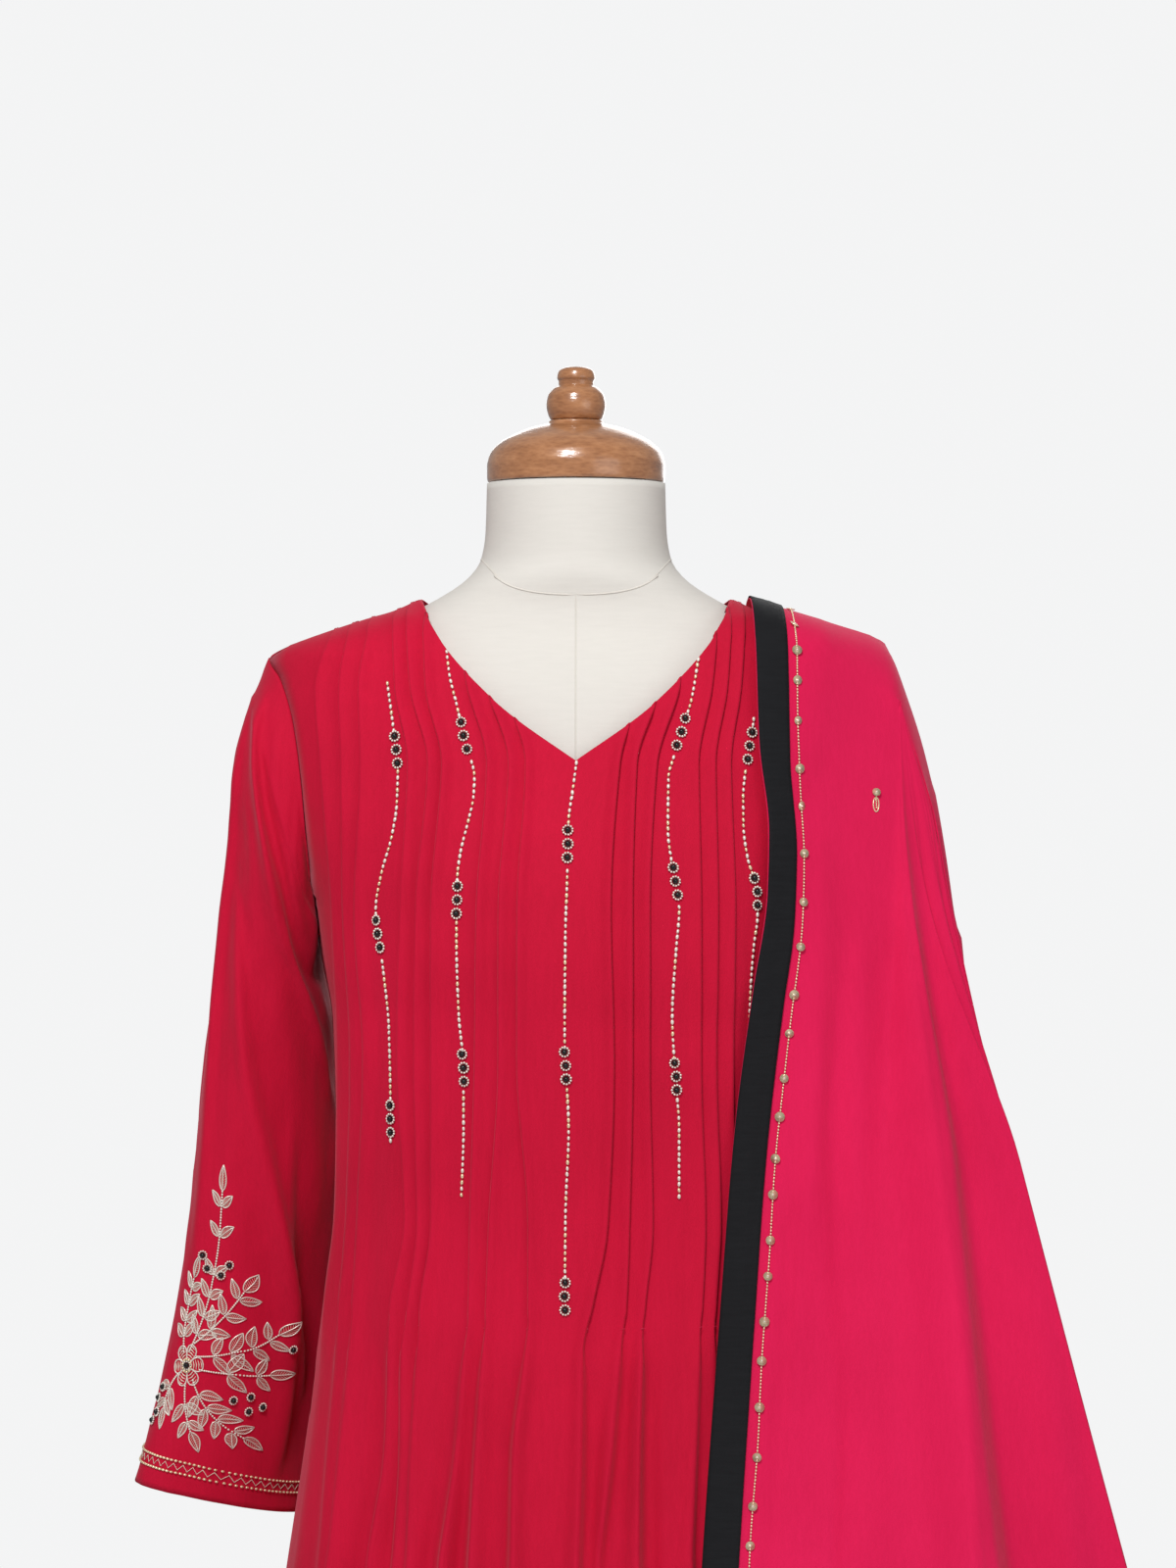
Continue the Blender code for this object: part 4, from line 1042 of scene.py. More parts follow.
def make_leg(name, sign, node):
    """A leg: half of the hip ring above the crotch, a closed tube below it."""
    count, rows = 96, 110
    centre = CROTCH_X + sign * SEAM / 2

    def point(column, row):
        z = SALWAR_TOP + (ANKLE - SALWAR_TOP) * min(row / (rows - 3), 1.0)
        half, front, back = (read(SALWAR, z, c) for c in range(1, 4))
        turn = math.pi * column / count
        side, along = math.sin(turn), math.cos(turn)
        deep = front if along > 0 else back
        across = sign * half - centre
        power = 2 / ROUNDNESS
        hip = Vector((centre + across * side**power, -deep * signed_power(along, power), z))
        middle = centre + across / 2
        around = math.sin(2 * turn)
        tube = Vector((middle - across / 2 * math.cos(2 * turn), -deep * signed_power(around, power), z))
        closed = smooth((CROTCH_TOP - z) / (CROTCH_TOP - CROTCH_FOOT))
        ripple = 0.0055 * math.cos(9 * turn + sign) + 0.002 * math.cos(23 * turn + 5 * sign + 3 * z)
        wander = 0.004 * waver(side * 4, along * 4, z * 4 + 9 * sign)
        fold = side * (ripple + wander) * smooth((CROTCH_TOP - z) / 0.3)
        p = hip.lerp(tube, closed)
        inside = (0.0, 0.0012, 0.003)[max(0, row - (rows - 3))]
        out = fold - inside
        return p + Vector((sign * out * side, p.y * out * 5, ANKLE_HIDDEN if row == rows - 1 else 0))

    bm = one_grid(count + 1, rows, point)
    middle = sign * 0.08 + CROTCH_X
    crimson_piece(name, bm, lambda p: Vector((p.x - middle, p.y, 0)), node)


# ---------------------------------------------------------------- dupatta
BAND_ACROSS = tuple(i / 22 for i in range(23))
FALL_SHARES = tuple((i / 95) ** 1.25 for i in range(96))  # rows from the shoulder down, closer near it
OVER_COUNT = 33  # rows over the shoulder


def fan_angles(drape, count=132):
    """The fan's columns, one of them on the cloth's corner."""
    first, last = drape.fan[0][0], drape.fan[-1][0]
    corner = math.copysign(drape.corner_angle(), first)
    found = [first + (last - first) * i / (count - 1) for i in range(count)]
    nearest = min(range(1, count - 1), key=lambda i: abs(found[i] - corner))
    found[nearest] = corner
    return found


# height and distance from the centre line along each long fold of the dupatta's front, then its depth
LONG_FOLDS = (
    (((1.372, 0.203), (1.206, 0.221), (1.101, 0.231), (0.944, 0.246), (0.795, 0.254), (0.300, 0.285)),
     0.0075),
    (((1.020, 0.285), (0.957, 0.302), (0.795, 0.329), (0.450, 0.372), (0.250, 0.395)), 0.0085),
    (((1.230, 0.165), (1.060, 0.158), (0.860, 0.166), (0.600, 0.160), (0.250, 0.170)), 0.0045),
    (((1.120, 0.198), (0.900, 0.205), (0.700, 0.222), (0.300, 0.240)), 0.0040),
)


def long_folds(p, drape):
    """How far the dupatta's long folds stand out, steeper on their outer side."""
    out = 0.0
    for number, (path, height) in enumerate(LONG_FOLDS):
        z = p.z + (0.0 if drape.front else 0.03)
        gap = p.x - read(path, z) - 0.004 * waver(number * 2.2, p.z * 4, drape.side)
        start = smooth((path[0][0] - z) / 0.22)
        swell = 0.75 + 0.25 * math.cos(9 * z + number)
        outer, beside = hump(gap, 0.021 if gap < 0 else 0.0055), hump(gap - 0.013, 0.009)
        out += height * start * swell * (outer - 0.55 * beside)
    return out


def belly(r):
    """The outer folds stand out below the shoulder and hang steeper lower down."""
    return 0.010 * smooth(r / 0.08) - 0.040 * r * smooth(r / 0.35)


def fan_surface(drape, angle, share):
    p = drape.fan_point(angle, share)
    r = (p - drape.corner).length
    p.x += belly(r) * (1 - smooth((abs(angle) - 30) / 50))
    first = abs(drape.fan[0][0])
    rim = smooth(abs(angle) / 6) * smooth((first - abs(angle)) / 5)
    seed = 3.0 if drape.front else 19.0
    ray = waver(angle * 0.16, share * 1.6, seed)
    fine = waver(angle * 0.52, share * 3.5, seed + 4)
    grow = smooth(share / 0.2)
    side = Vector((0.75, drape.side * 0.66, 0))
    fold = Vector((0, drape.side * long_folds(p, drape), 0)) * smooth(abs(angle) / 12)
    return p + side * rim * grow * (0.0050 * ray + 0.0020 * fine) + fold


def band_surface(drape, across, run):
    """The flat part behind the ribbon, with its small ripples."""
    p = drape.band(across, run)
    rim = smooth(across / 0.3) * smooth((1 - across) / 0.2)
    seed = 23.0 if drape.front else 31.0
    low = smooth((run - drape.over) / 0.3)
    ray = waver(across * 5.0, run * 2.0, seed)
    fine = waver(across * 13.0, run * 4.0, seed + 3)
    edge = 0.0016 * waver(0.0, run * 11.0, seed + 8)
    fold = smooth(across / 0.5) * long_folds(p, drape)
    out = rim * low * (0.0055 * max(ray, -0.4) + 0.0020 * fine) + abs(edge) + fold
    return p + Vector((0, drape.side * out, 0))


def over_surface(front, back, across, row):
    half = OVER_COUNT // 2
    if row <= half:
        return band_surface(front, across, front.over * (1 - row / half))
    return band_surface(back, across, back.over * (row - half) / half)


def away_from_shoulder(p):
    return Vector((p.x - 0.10, p.y, 0.25))


def make_dupatta(front, back):
    """The panel: a fan and a band in front and behind, joined over the shoulder and down the side."""
    bm = bmesh.new()
    wide = len(BAND_ACROSS)
    for drape in (front, back):
        angles = fan_angles(drape)

        def point(column, row, drape=drape, angles=angles):
            share = FALL_SHARES[row]
            if column < wide:
                run = drape.over + share * (drape.length - drape.over)
                return band_surface(drape, BAND_ACROSS[column], run)
            return fan_surface(drape, angles[column - wide + 1], share)

        grid(bm, wide + len(angles) - 1, len(FALL_SHARES), point)
    grid(bm, wide, OVER_COUNT, lambda c, r: over_surface(front, back, BAND_ACROSS[c], r))

    def side(column, row):
        start = over_surface(front, back, 1.0, column)
        length = (DUPATTA_WIDTH - SHOULDER_BAND) * FALL_SHARES[row]
        p = start + length * front.direction(0.0, front.fold_at(length))
        p.x += belly(length)
        share = column / (OVER_COUNT - 1)
        rim = smooth(share / 0.15) * smooth((1 - share) / 0.15) * smooth(length / 0.25)
        wave = math.cos(math.tau * (2.5 * share + 0.1)) * 0.012 + 0.004 * waver(share * 9, length * 3, 2)
        return p + Vector((rim * wave, 0, 0))

    grid(bm, OVER_COUNT, len(FALL_SHARES), side)
    bmesh.ops.remove_doubles(bm, verts=bm.verts, dist=SAME_POINT)
    for reach, times in ((0.16, 14), (0.07, 20)):  # softens the folds where the cloth leaves the shoulder
        near = [v for v in bm.verts if v.co.x > 0.165 and not v.is_boundary
                and min((v.co - drape.corner).length for drape in (front, back)) < reach]
        for _ in range(times):
            bmesh.ops.smooth_vert(bm, verts=near, factor=0.5, use_axis_x=True, use_axis_y=True,
                                  use_axis_z=True)
    return cloth("dupatta_cloth", bm, away_from_shoulder, DUPATTA_CLOTH, "dupatta_georgette",
                 "dupatta_panel", 0.0005)


def ribbon_runs(front, back, step):
    """(drape, run) along the whole neck edge, from the front end over the shoulder to the back end."""
    before = [(front, front.length - step * i) for i in range(math.ceil(front.length / step))]
    behind = [(back, step * i) for i in range(math.ceil(back.length / step))]
    return before + behind + [(back, back.length)]


def band_frame(drape, across, run):
    """A point of the band, its outward normal and the direction of the edge."""
    p = band_surface(drape, across, run)
    later = band_surface(drape, across, min(run + 0.003, drape.length))
    sooner = band_surface(drape, across, max(run - 0.003, 0.0))
    along = (later - sooner).normalized()
    outer, inner = (band_surface(drape, min(max(across + way, 0.0), 1.0), run) for way in (0.04, -0.04))
    beside = outer - inner
    normal = along.cross(beside).normalized()
    if normal.dot(Vector((-0.15, drape.side, 0.35))) < 0:
        normal = -normal
    return p, normal, along


def make_border(front, back):
    runs = ribbon_runs(front, back, 0.006)
    columns = 9
    share = BORDER_WIDTH / SHOULDER_BAND

    def point(column, row):
        drape, run = runs[row]
        p, normal, _ = band_frame(drape, share * column / (columns - 1), run)
        slub = 0.0002 * waver(column * 0.9, run * 60, drape.side)
        puff = 0.0004 * math.sin(math.pi * column / (columns - 1))
        return p + normal * (0.0016 + puff + slub)

    bm = one_grid(columns, len(runs), point)
    cloth("dupatta_ribbon", bm, away_from_shoulder, RIBBON_CLOTH, "black_ribbon", "dupatta_border")


# ---------------------------------------------------------------- the form
def form_point(turn, z, out=0.0):
    """A point of the dress form: round at the neck, boxier from the neck's foot down."""
    half, front, back = (read(FORM, z, column) for column in (1, 2, 3))
    power = 2 / (ROUNDNESS if z < 1.44 else 2.0 + (ROUNDNESS - 2.0) * smooth((1.452 - z) / 0.03))
    across, along = math.sin(turn), math.cos(turn)
    x = (half + out) * signed_power(across, power)
    y = ((front if along > 0 else back) + out) * -signed_power(along, power)
    return Vector((x, y, z))


# radius and height above its foot, from the foot up
CAP_PROFILE = (
    (0.0, 0.0010), (0.0585, 0.0010), (0.0600, 0.0040), (0.0600, 0.0120), (0.0580, 0.0200), (0.0520, 0.0270),
    (0.0420, 0.0330), (0.0300, 0.0378), (0.0190, 0.0405), (0.0175, 0.0425), (0.0, 0.0425),
)
FINIAL_PROFILE = (
    (0.0, 0.0), (0.0160, 0.0), (0.0185, 0.0030), (0.0200, 0.0100), (0.0190, 0.0165), (0.0150, 0.0215),
    (0.0118, 0.0235), (0.0118, 0.0262), (0.0128, 0.0285), (0.0118, 0.0330), (0.0060, 0.0358), (0.0, 0.0358),
)


def make_turned(name, profile, foot, node):
    """A piece turned on a lathe, on the profile of its solid."""
    around, steps = 96, 8
    rows = (len(profile) - 1) * steps + 1
    radii = [(i, r) for i, (r, _) in enumerate(profile)]
    heights = [(i, h) for i, (_, h) in enumerate(profile)]

    def point(column, row):
        turn = math.tau * (column % around) / around
        r, h = read(radii, row / steps), read(heights, row / steps)
        return Vector((r * math.cos(turn), r * math.sin(turn), foot + h))

    bm = one_grid(around + 1, rows, point)
    face_out(bm, from_middle)
    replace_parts(to_object(name, bm, WOOD, "varnished_wood"), node)


def make_form():
    """The padded form, closed at its top and foot."""
    count, rows = 96, 150

    def point(column, row):
        z = FORM_TOP + (FORM_FOOT - FORM_TOP) * min(max(row - 1, 0) / (rows - 3), 1.0)
        p = form_point(math.tau * (column % count) / count, z)
        if row in (0, rows - 1):
            return Vector((0, 0, z))
        return p

    bm = one_grid(count + 1, rows, point)
    face_out(bm, from_middle)
    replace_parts(to_object("form_linen_cover", bm, LINEN, "linen"), "form_torso")


# ---------------------------------------------------------------- beads and embroidery
# (x, height) down each bead line of the front, and the heights at which its rosettes start
BEAD_LINES = (
    (((-0.123, 1.367), (-0.118, 1.332), (-0.1155, 1.3105), (-0.116, 1.288), (-0.119, 1.2675),
      (-0.126, 1.242), (-0.1295, 1.220), (-0.1245, 1.180), (-0.121, 1.143), (-0.120, 1.092),
      (-0.120, 1.068)), (1.332, 1.2125, 1.092)),
    (((-0.0845, 1.3875), (-0.082, 1.3705), (-0.0775, 1.353), (-0.0715, 1.3275), (-0.0655, 1.305),
      (-0.066, 1.293), (-0.0695, 1.276), (-0.074, 1.2575), (-0.076, 1.242), (-0.0765, 1.203),
      (-0.075, 1.152), (-0.072, 1.118), (-0.072, 1.079), (-0.0735, 1.0335)), (1.341, 1.235, 1.127)),
    (((0.0005, 1.3149), (-0.002, 1.296), (-0.0045, 1.2775), (-0.0055, 1.237), (-0.0065, 1.206),
      (-0.007, 1.137), (-0.0045, 1.079), (-0.0065, 1.025), (-0.007, 0.960)), (1.271, 1.129, 0.9805)),
    (((0.080, 1.3825), (0.075, 1.355), (0.0695, 1.338), (0.064, 1.320), (0.060, 1.305), (0.0595, 1.2705),
      (0.0615, 1.252), (0.065, 1.2345), (0.0665, 1.220), (0.0645, 1.195), (0.062, 1.152), (0.0645, 1.1075),
      (0.0665, 1.079), (0.0665, 1.033)), (1.3435, 1.247, 1.1215)),
    (((0.116, 1.3435), (0.114, 1.3295), (0.111, 1.315), (0.1085, 1.291), (0.1085, 1.2745), (0.111, 1.2535),
      (0.1165, 1.234), (0.1175, 1.216), (0.115, 1.196), (0.113, 1.168), (0.112, 1.120), (0.112, 1.068)),
     (1.3345, 1.240, 1.105)),
)
BEAD_PITCH = 0.0039
ROSETTE_PITCH = 0.0088


TRIM_FINISHES = {
    "silver": (SILVER, "gold_bead"),
    "gold": (GOLD, "gold_bead"),
    "black": (BLACK, "black_bead"),
    "thread": (THREAD, "metal_thread"),
}


class Trim:
    """Collects the beads of one embroidered part, by finish, and makes one piece of each."""

    BATCH = 2500  # vertices after which a new mesh is begun, because adding to a big one is slow

    def __init__(self):
        self.parts = {}

    def mesh(self, kind):
        batches = self.parts.setdefault(kind, [bmesh.new()])
        if len(batches[-1].verts) > self.BATCH:
            batches.append(bmesh.new())
        return batches[-1]

    def finish(self, label):
        for kind, batches in self.parts.items():
            whole = bmesh.new()
            for batch in batches:
                part = bpy.data.meshes.new("batch")
                batch.to_mesh(part)
                batch.free()
                whole.from_mesh(part)
                bpy.data.meshes.remove(part)
            to_object(label + "_" + kind, whole, *TRIM_FINISHES[kind])


def rosette(trim, matrix, size=1.0):
    """A black bead in a ring of small silver ones."""
    shift = Matrix.Translation
    bead(trim.mesh("black"), matrix @ shift((0, 0, 0.0010 * size)), (0.0021 * size,) * 3, 10, 7)
    for i in range(11):
        turn = Matrix.Rotation(math.tau * i / 11, 4, "Z") @ shift((0.0031 * size, 0, 0.0006 * size))
        bead(trim.mesh("silver"), matrix @ turn, (0.00085 * size,) * 3)


def bead_lines(found):
    trim = Trim()
    dice = random.Random(11)
    for rows, rosettes in BEAD_LINES:
        taken = [(start + 0.002, start - 2.6 * ROSETTE_PITCH) for start in rosettes]
        for x, z, along in path_points(rows, BEAD_PITCH):
            if any(high > z > low for high, low in taken):
                continue
            point, normal = found.front(x, z)
            if point is None:
                continue
            matrix = frame_on(point + normal * 0.0008, normal, along)
            twist = Matrix.Rotation(dice.uniform(-0.2, 0.2), 4, "Z")
            size = dice.uniform(0.88, 1.1)
            kind = "silver" if dice.random() < 0.7 else "gold"
            bead(trim.mesh(kind), matrix @ twist, (0.0011 * size, 0.0017 * size, 0.0010), 7, 5)
        for start in rosettes:
            for step in range(3):
                z = start - step * ROSETTE_PITCH
                table = tuple((q, x) for x, q in rows)
                x = read(table, z) + dice.uniform(-0.0004, 0.0004)
                point, normal = found.front(x, z)
                if point is not None:
                    rosette(trim, frame_on(point + normal * 0.0006, normal, DOWN), dice.uniform(0.95, 1.05))
    trim.finish("bodice_beads")


def tube(bm, points, normals, radius, sides=5, flat=1.0):
    """A thread laid along points of a surface."""
    count = len(points)

    def place(column, row):
        ahead = points[min(row + 1, count - 1)] - points[max(row - 1, 0)]
        along = ahead.normalized()
        up = normals[row]
        across = along.cross(up).normalized()
        turn = math.tau * (column % sides) / sides
        thin = 0.25 if row in (0, count - 1) else 1.0
        return points[row] + radius * thin * (math.cos(turn) * across + flat * math.sin(turn) * up)

    laid = grid(bm, sides + 1, count, place)
    bmesh.ops.remove_doubles(bm, verts=laid, dist=0.000002)


class Patch:
    """A flat drawing laid on the cloth: (across, up) in metres from a place on it."""

    def __init__(self, lay, trim):
        self.lay, self.trim = lay, trim

    def spot(self, u, v, out=0.0):
        point, normal = self.lay(u, v)
        return point + normal * out, normal

    def line(self, uv, radius, kind="thread", out=0.0004):
        spots = [self.spot(u, v, out) for u, v in uv]
        tube(self.trim.mesh(kind), [p for p, _ in spots], [n for _, n in spots], radius)

    def chain(self, uv, size, pitch, kind="thread"):
        """Little beads in a row along a drawn line."""
        run, due = 0.0, 0.0
        for (u0, v0), (u1, v1) in zip(uv, uv[1:]):
            long = math.hypot(u1 - u0, v1 - v0)
            while due <= run + long:
                share = (due - run) / max(long, 1e-9)
                u, v = u0 + (u1 - u0) * share, v0 + (v1 - v0) * share
                point, normal = self.spot(u, v, size * 0.7)
                ahead = self.spot(u + (u1 - u0) * 0.1, v + (v1 - v0) * 0.1)[0] - self.spot(u, v)[0]
                bead(self.trim.mesh(kind), frame_on(point, normal, ahead),
                     (size * 0.85, size * 1.1, size * 0.8))
                due += pitch
            run += long

    def leaf(self, u, v, heading, long, wide, dice):
        """An outlined leaf with slanting stitches inside."""
        c, s = math.cos(heading), math.sin(heading)

        def at(along, across):
            return u + c * along - s * across, v + s * along + c * across

        def half(share):
            return wide / 2 * math.sin(math.pi * share**0.8) ** 0.9

        lean = dice.uniform(-0.12, 0.12)
        steps, stitches = 9, 9

        def rib(share):
            return lean * wide * math.sin(math.pi * share)

        up, down = ([at(long * i / steps, side * half(i / steps) + rib(i / steps)) for i in range(steps + 1)]
                    for side in (1, -1))
        self.line(up + list(reversed(down)), 0.00042, "silver")
        self.line([at(long * i / 6, rib(i / 6)) for i in range(7)], 0.00034, "silver", 0.0007)
        for i in range(stitches):
            share = 0.04 + 0.80 * i / stitches
            for side in (-1, 1):
                tip = rib(share) + side * 0.86 * half(min(share + 0.14, 1.0))
                self.line([at(long * share, rib(share)), at(long * (share + 0.13), tip)], 0.00052)

    def flower(self, u, v, radius, petals=6):
        for i in range(petals):
            heading = math.tau * i / petals + 0.3
            c, s = math.cos(heading), math.sin(heading)

            def at(along, across, c=c, s=s):
                return u + c * along - s * across, v + s * along + c * across

            wide = 0.62 * radius
            outline = []
            for k in range(15):
                turn = math.tau * k / 14
                along = radius * (0.60 - 0.40 * math.cos(turn))
                across = wide * 0.5 * math.sin(turn) * (1 - 0.30 * math.cos(turn))
                outline.append(at(along, across))
            self.line(outline, 0.00048, "silver")
            for k in range(5):
                share = 0.30 + 0.14 * k
                reach = wide * 0.40 * math.sin(math.pi * min(share, 0.95)) ** 0.5
                bend = at(radius * share, -reach), at(radius * (share + 0.05), 0), at(radius * share, reach)
                self.line(bend, 0.00040, out=0.0006)
        for i in range(10):
            turn = math.tau * i / 10
            point, normal = self.spot(u + 0.0042 * math.cos(turn), v + 0.0042 * math.sin(turn), 0.0012)
            bead(self.trim.mesh("gold"), frame_on(point, normal, DOWN), (0.0010,) * 3)
        self.rosette(u, v)

    def rosette(self, u, v, size=0.86):
        point, normal = self.spot(u, v, 0.0006)
        rosette(self.trim, frame_on(point, normal, DOWN), size)


def curve(start, bend, end, steps=14):
    """A plain curve between two drawn points, pulled towards a third."""
    shares = [i / steps for i in range(steps + 1)]
    return [tuple(a * (1 - t) ** 2 + 2 * b * t * (1 - t) + c * t * t for a, b, c in zip(start, bend, end))
            for t in shares]


# stems of the spray: start, bend, end, then how many leaves on each side
STEMS = (
    ((-0.010, 0.042), (0.006, 0.078), (0.000, 0.146), 6),
    ((-0.006, 0.048), (0.014, 0.066), (0.024, 0.090), 3),
    ((-0.002, 0.040), (0.026, 0.046), (0.046, 0.068), 4),
    ((0.002, 0.032), (0.024, 0.034), (0.044, 0.040), 2),
    ((-0.002, 0.024), (0.010, 0.004), (0.034, -0.006), 4),
    ((-0.016, 0.040), (-0.024, 0.060), (-0.018, 0.088), 4),
    ((-0.018, 0.024), (-0.028, 0.014), (-0.026, 0.000), 2),
    ((-0.008, 0.020), (-0.006, 0.006), (0.004, -0.010), 2),
)
# black beads in their rings: clusters of the spray
BERRIES = (
    (-0.012, 0.104), (-0.006, 0.097), (0.012, 0.104), (0.007, 0.096),
    (0.026, 0.018), (0.034, 0.023), (0.034, 0.013), (0.042, 0.018), (0.054, 0.060),
    (-0.034, 0.012), (-0.038, 0.004), (-0.034, -0.005), (-0.040, -0.012),
)


LEAF_LONG, LEAF_WIDTH = 0.0145, 0.0066


def spray(patch):
    """A flowering spray: stems with leaves in pairs, one open flower, clusters of ringed beads."""
    dice = random.Random(23)
    for start, bend, end, leaves in STEMS:
        line = curve(start, bend, end)
        patch.chain(line, 0.00085, 0.0017, "silver")
        for i in range(leaves):
            at = int((i + 1.2) / (leaves + 0.6) * (len(line) - 1))
            (u0, v0), (u1, v1) = line[at - 1], line[at]
            heading = math.atan2(v1 - v0, u1 - u0)
            shrink = 1 - 0.25 * i / leaves
            for side in (-1, 1):
                long = LEAF_LONG * shrink * dice.uniform(0.9, 1.12)
                turn = heading + side * dice.uniform(0.75, 1.0)
                foot = u1 + 0.0012 * math.cos(turn), v1 + 0.0012 * math.sin(turn)
                patch.leaf(*foot, turn, long, LEAF_WIDTH * shrink, dice)
        (u0, v0), (u1, v1) = line[-2:]
        patch.leaf(u1, v1, math.atan2(v1 - v0, u1 - u0), 0.0150, LEAF_WIDTH, dice)
    patch.flower(-0.010, 0.032, 0.0145)
    for u, v in BERRIES:
        patch.rosette(u, v)


SLEEVE_ROUND, SLEEVE_LONG = 0.34, 0.58  # size of a whole turn and of the whole length, for drawings


def sleeve_patch(sleeve, trim, turn_at, down_at):
    """Lays a drawing on a sleeve: up is towards the shoulder, across away from the arm's outside."""

    def lay(u, v):
        turn = turn_at + u / SLEEVE_ROUND
        down = down_at - v / SLEEVE_LONG
        point = sleeve.point(turn, down)
        beside = sleeve.point(turn + 0.004, down) - sleeve.point(turn - 0.004, down)
        below = sleeve.point(turn, down + 0.003) - sleeve.point(turn, down - 0.003)
        normal = beside.cross(below).normalized()
        middle = sleeve.point(turn + 0.5, down)
        return point, normal if normal.dot(point - middle) > 0 else -normal

    return Patch(lay, trim)


def cuff_rows(sleeve, trim):
    """Two rows of gold beads round the cuff with a fine zigzag between them."""
    patch = sleeve_patch(sleeve, trim, 0.0, 0.0)
    for down, step in ((0.9605, 0), (0.9745, 1)):
        count = 104
        for i in range(count):
            u, v = (i + 0.5 * step) / count * SLEEVE_ROUND, -down * SLEEVE_LONG
            point, normal = patch.lay(u, v)
            matrix = frame_on(point + normal * 0.0007, normal, patch.lay(u + 0.0005, v)[0] - point)
            bead(trim.mesh("gold"), matrix, (0.0009, 0.0015, 0.0008))
    zigzag = [(i / 100 * SLEEVE_ROUND, -(0.9640 + 0.0070 * (i % 2)) * SLEEVE_LONG) for i in range(101)]
    patch.line(zigzag, 0.00030)


def dupatta_cord(front, back):
    """A line of tiny beads beside the ribbon with a sequin every few centimetres."""
    trim = Trim()
    dice = random.Random(5)
    across = (BORDER_WIDTH + 0.0065) / SHOULDER_BAND
    due = 0.012
    for drape in (front, back):
        run = 0.002
        while run < drape.length - 0.004:
            wander = across + 0.010 * waver(run * 16, drape.side * 4, 0)
            p, normal, along = band_frame(drape, wander, run)
            if run >= due:
                sequin(trim, frame_on(p + normal * 0.0011, normal, along), dice.uniform(0.0029, 0.0034), dice)
                due = run + dice.uniform(0.022, 0.031)
            bead(trim.mesh("gold"), frame_on(p + normal * 0.0008, normal, along), (0.00065, 0.00095, 0.0006))
            run += 0.0021
        due = 0.014
    trim.finish("dupatta_cord")


def sequin(trim, matrix, size, dice):
    """A shallow cup with a seed bead in its middle."""
    bm = trim.mesh("gold")
    for axis in "XY":
        matrix = matrix @ Matrix.Rotation(dice.uniform(-0.25, 0.25), 4, axis)
    bmesh.ops.create_cone(bm, cap_ends=True, segments=14, radius1=size * 0.82, radius2=size, depth=0.0005,
                          matrix=matrix)
    bead(trim.mesh("silver"), matrix @ Matrix.Translation((0, 0, 0.0005)), (0.0007,) * 3)


def dupatta_bud(found):
    """The single worked bud below the shoulder."""
    trim = Trim()
    x0, z0 = 0.1972, 1.2955
    point, normal = found.front(x0, z0)
    if point is not None:
        along = DOWN
        matrix = frame_on(point + normal * 0.0012, normal, along)
        sequin(trim, matrix, 0.0028, random.Random(2))

        def lay(u, v):
            spot, facing = found.front(x0 + u, z0 + v)
            return (spot, facing) if spot is not None else (point, normal)

        patch = Patch(lay, trim)
        loop = []
        for i in range(13):
            turn = math.tau * i / 12
            loop.append((0.0019 * math.sin(turn), -0.0080 + 0.0048 * math.cos(turn)))
        patch.line(loop, 0.00045, "gold")
        patch.chain([(0.0, -0.003), (0.0002, -0.0105)], 0.0007, 0.0014, "gold")
    trim.finish("dupatta_bud")


def tuck_ends():
    """The little bar of stitches that holds each tuck where it opens."""
    bm = bmesh.new()
    for tuck in TUCKS:
        sign = signed(tuck)
        spots = []
        for i in range(4):
            x = tuck_x(tuck, TUCK_END) + sign * (0.0014 - 0.0034 * i / 3)
            spots.append(skin(x, TUCK_END, True, TUCK_HEIGHT * (0.35 + 0.22 * i) + 0.0002))
        tube(bm, spots, [Vector((0, -1, 0))] * 4, 0.0003)
    to_object("tuck_end_stitches", bm, PINK_THREAD, "crimson_georgette")


def form_seams():
    """The sewn seams of the form's linen cover: round the neck's base, down the middle, down the sides."""
    bm = bmesh.new()

    def base(turn):
        return 1.452 - 0.026 * math.cos(turn) ** 2 * (1 if math.cos(turn) > 0 else 0.2)

    spots = [form_point(math.tau * i / 120, base(math.tau * i / 120), 0.0001) for i in range(121)]
    tube(bm, spots, [Vector((p.x, p.y, 0.02)).normalized() for p in spots], 0.0006, flat=0.5)
    for turn in (0.0, math.pi, math.pi / 2, -math.pi / 2):
        top = base(turn) if turn in (0.0, math.pi) else 1.44
        spots = [form_point(turn, top + (0.802 - top) * i / 160, 0.0001) for i in range(161)]
        normals = [Vector((math.sin(turn), -math.cos(turn), 0.1)).normalized()] * 161
        tube(bm, spots, normals, 0.0005, flat=0.6)
    to_object("form_seams", bm, SEAM_THREAD, "linen")


# ---------------------------------------------------------------- the set
def area_light(name, place, target, size, power):
    data = bpy.data.lights.new(name, "AREA")
    data.shape, data.size, data.energy = "DISK", size, power
    lamp = into_scene(name, data)
    lamp.location = place
    lamp.rotation_euler = (Vector(target) - Vector(place)).to_track_quat("-Z", "Y").to_euler()


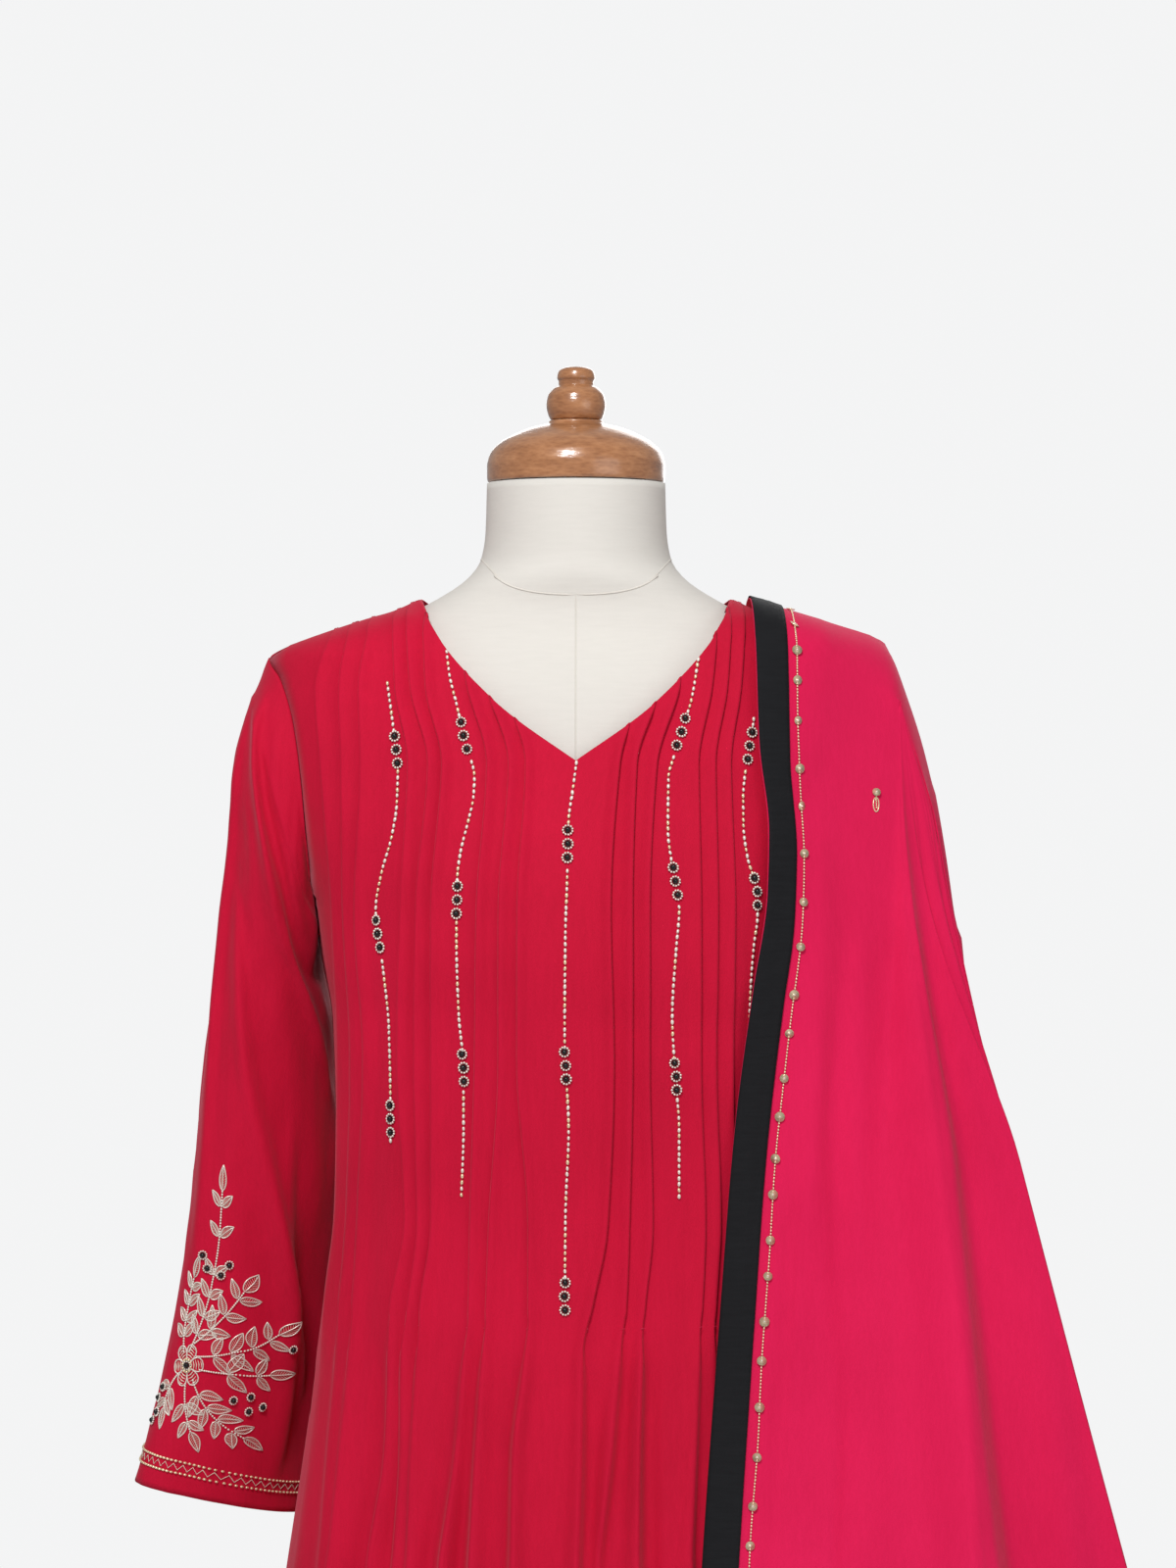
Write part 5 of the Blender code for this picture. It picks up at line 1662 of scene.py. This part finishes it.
def make_studio():
    area_light("key", (-0.45, -2.3, 3.15), (0, 0, 1.15), 0.7, 64)
    area_light("fill", (2.2, -2.6, 1.5), (0, 0, 1.1), 2.2, 14)
    area_light("back_fill", (0.6, 3.0, 2.2), (0, 0, 1.1), 2.4, 30)
    world = bpy.data.worlds.new("studio")
    world.use_nodes = True
    tree, lit = world.node_tree, world.node_tree.nodes["Background"]
    lit.inputs["Color"].default_value = (0.955, 0.958, 0.962, 1)
    seen = add(tree, "ShaderNodeLightPath").outputs["Is Camera Ray"]
    strength = add(tree, "ShaderNodeMapRange", (("Value", seen), ("To Min", 0.36), ("To Max", 0.945)))
    tree.links.new(strength.outputs[0], lit.inputs["Strength"])
    bpy.context.scene.world = world
    bm = bmesh.new()
    bmesh.ops.create_circle(bm, cap_ends=True, segments=96, radius=4.0)
    mesh = bpy.data.meshes.new("floor")
    bm.to_mesh(mesh)
    bm.free()
    mesh.materials.append(mottled("floor_paint", (0.80,) * 3, (0.83,) * 3, 3.0, 0.85))
    floor = into_scene("floor", mesh)
    floor.location.z = -0.001
    data = bpy.data.cameras.new("camera")
    data.lens, data.sensor_width = 102.3, 36.0
    camera = into_scene("camera", data)
    camera.location = (0.008, -3.0, 1.301)
    camera.rotation_euler = (math.pi / 2, 0, 0)
    bpy.context.scene.camera = camera
    bpy.context.scene.view_settings.view_transform = "Standard"


def dress_stand():
    """The steel parts of the stand show as their CAD solids."""
    for name in ("pole", "base_boss", "base_plate"):
        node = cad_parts[name]
        node.data.materials.clear()
        node.data.materials.append(STEEL)


make_studio()
dress_stand()
make_turned("neck_cap_varnished", CAP_PROFILE, FORM_TOP, "neck_cap")
make_turned("finial_varnished", FINIAL_PROFILE, FINIAL_FOOT, "finial")
make_form()
front_cloth = make_front()
make_back()
right_sleeve, left_sleeve = Sleeve(SLEEVE_RIGHT, -1), Sleeve(SLEEVE_LEFT, 1)
make_sleeve("sleeve_right_cloth", right_sleeve, "sleeve_right")
make_sleeve("sleeve_left_cloth", left_sleeve, "sleeve_left")
make_belt()
make_leg("salwar_leg_right_cloth", -1, "salwar_leg_right")
make_leg("salwar_leg_left_cloth", 1, "salwar_leg_left")
front_drape, back_drape = Drape(True), Drape(False)
panel = make_dupatta(front_drape, back_drape)
make_border(front_drape, back_drape)
form_seams()
tuck_ends()
bead_lines(Surface(front_cloth))
for label, sleeve in (("sleeve_right", right_sleeve), ("sleeve_left", left_sleeve)):
    trim = Trim()
    spray(sleeve_patch(sleeve, trim, 0.17, 0.905))
    cuff_rows(sleeve, trim)
    trim.finish(label + "_embroidery")
dupatta_cord(front_drape, back_drape)
dupatta_bud(Surface(panel))
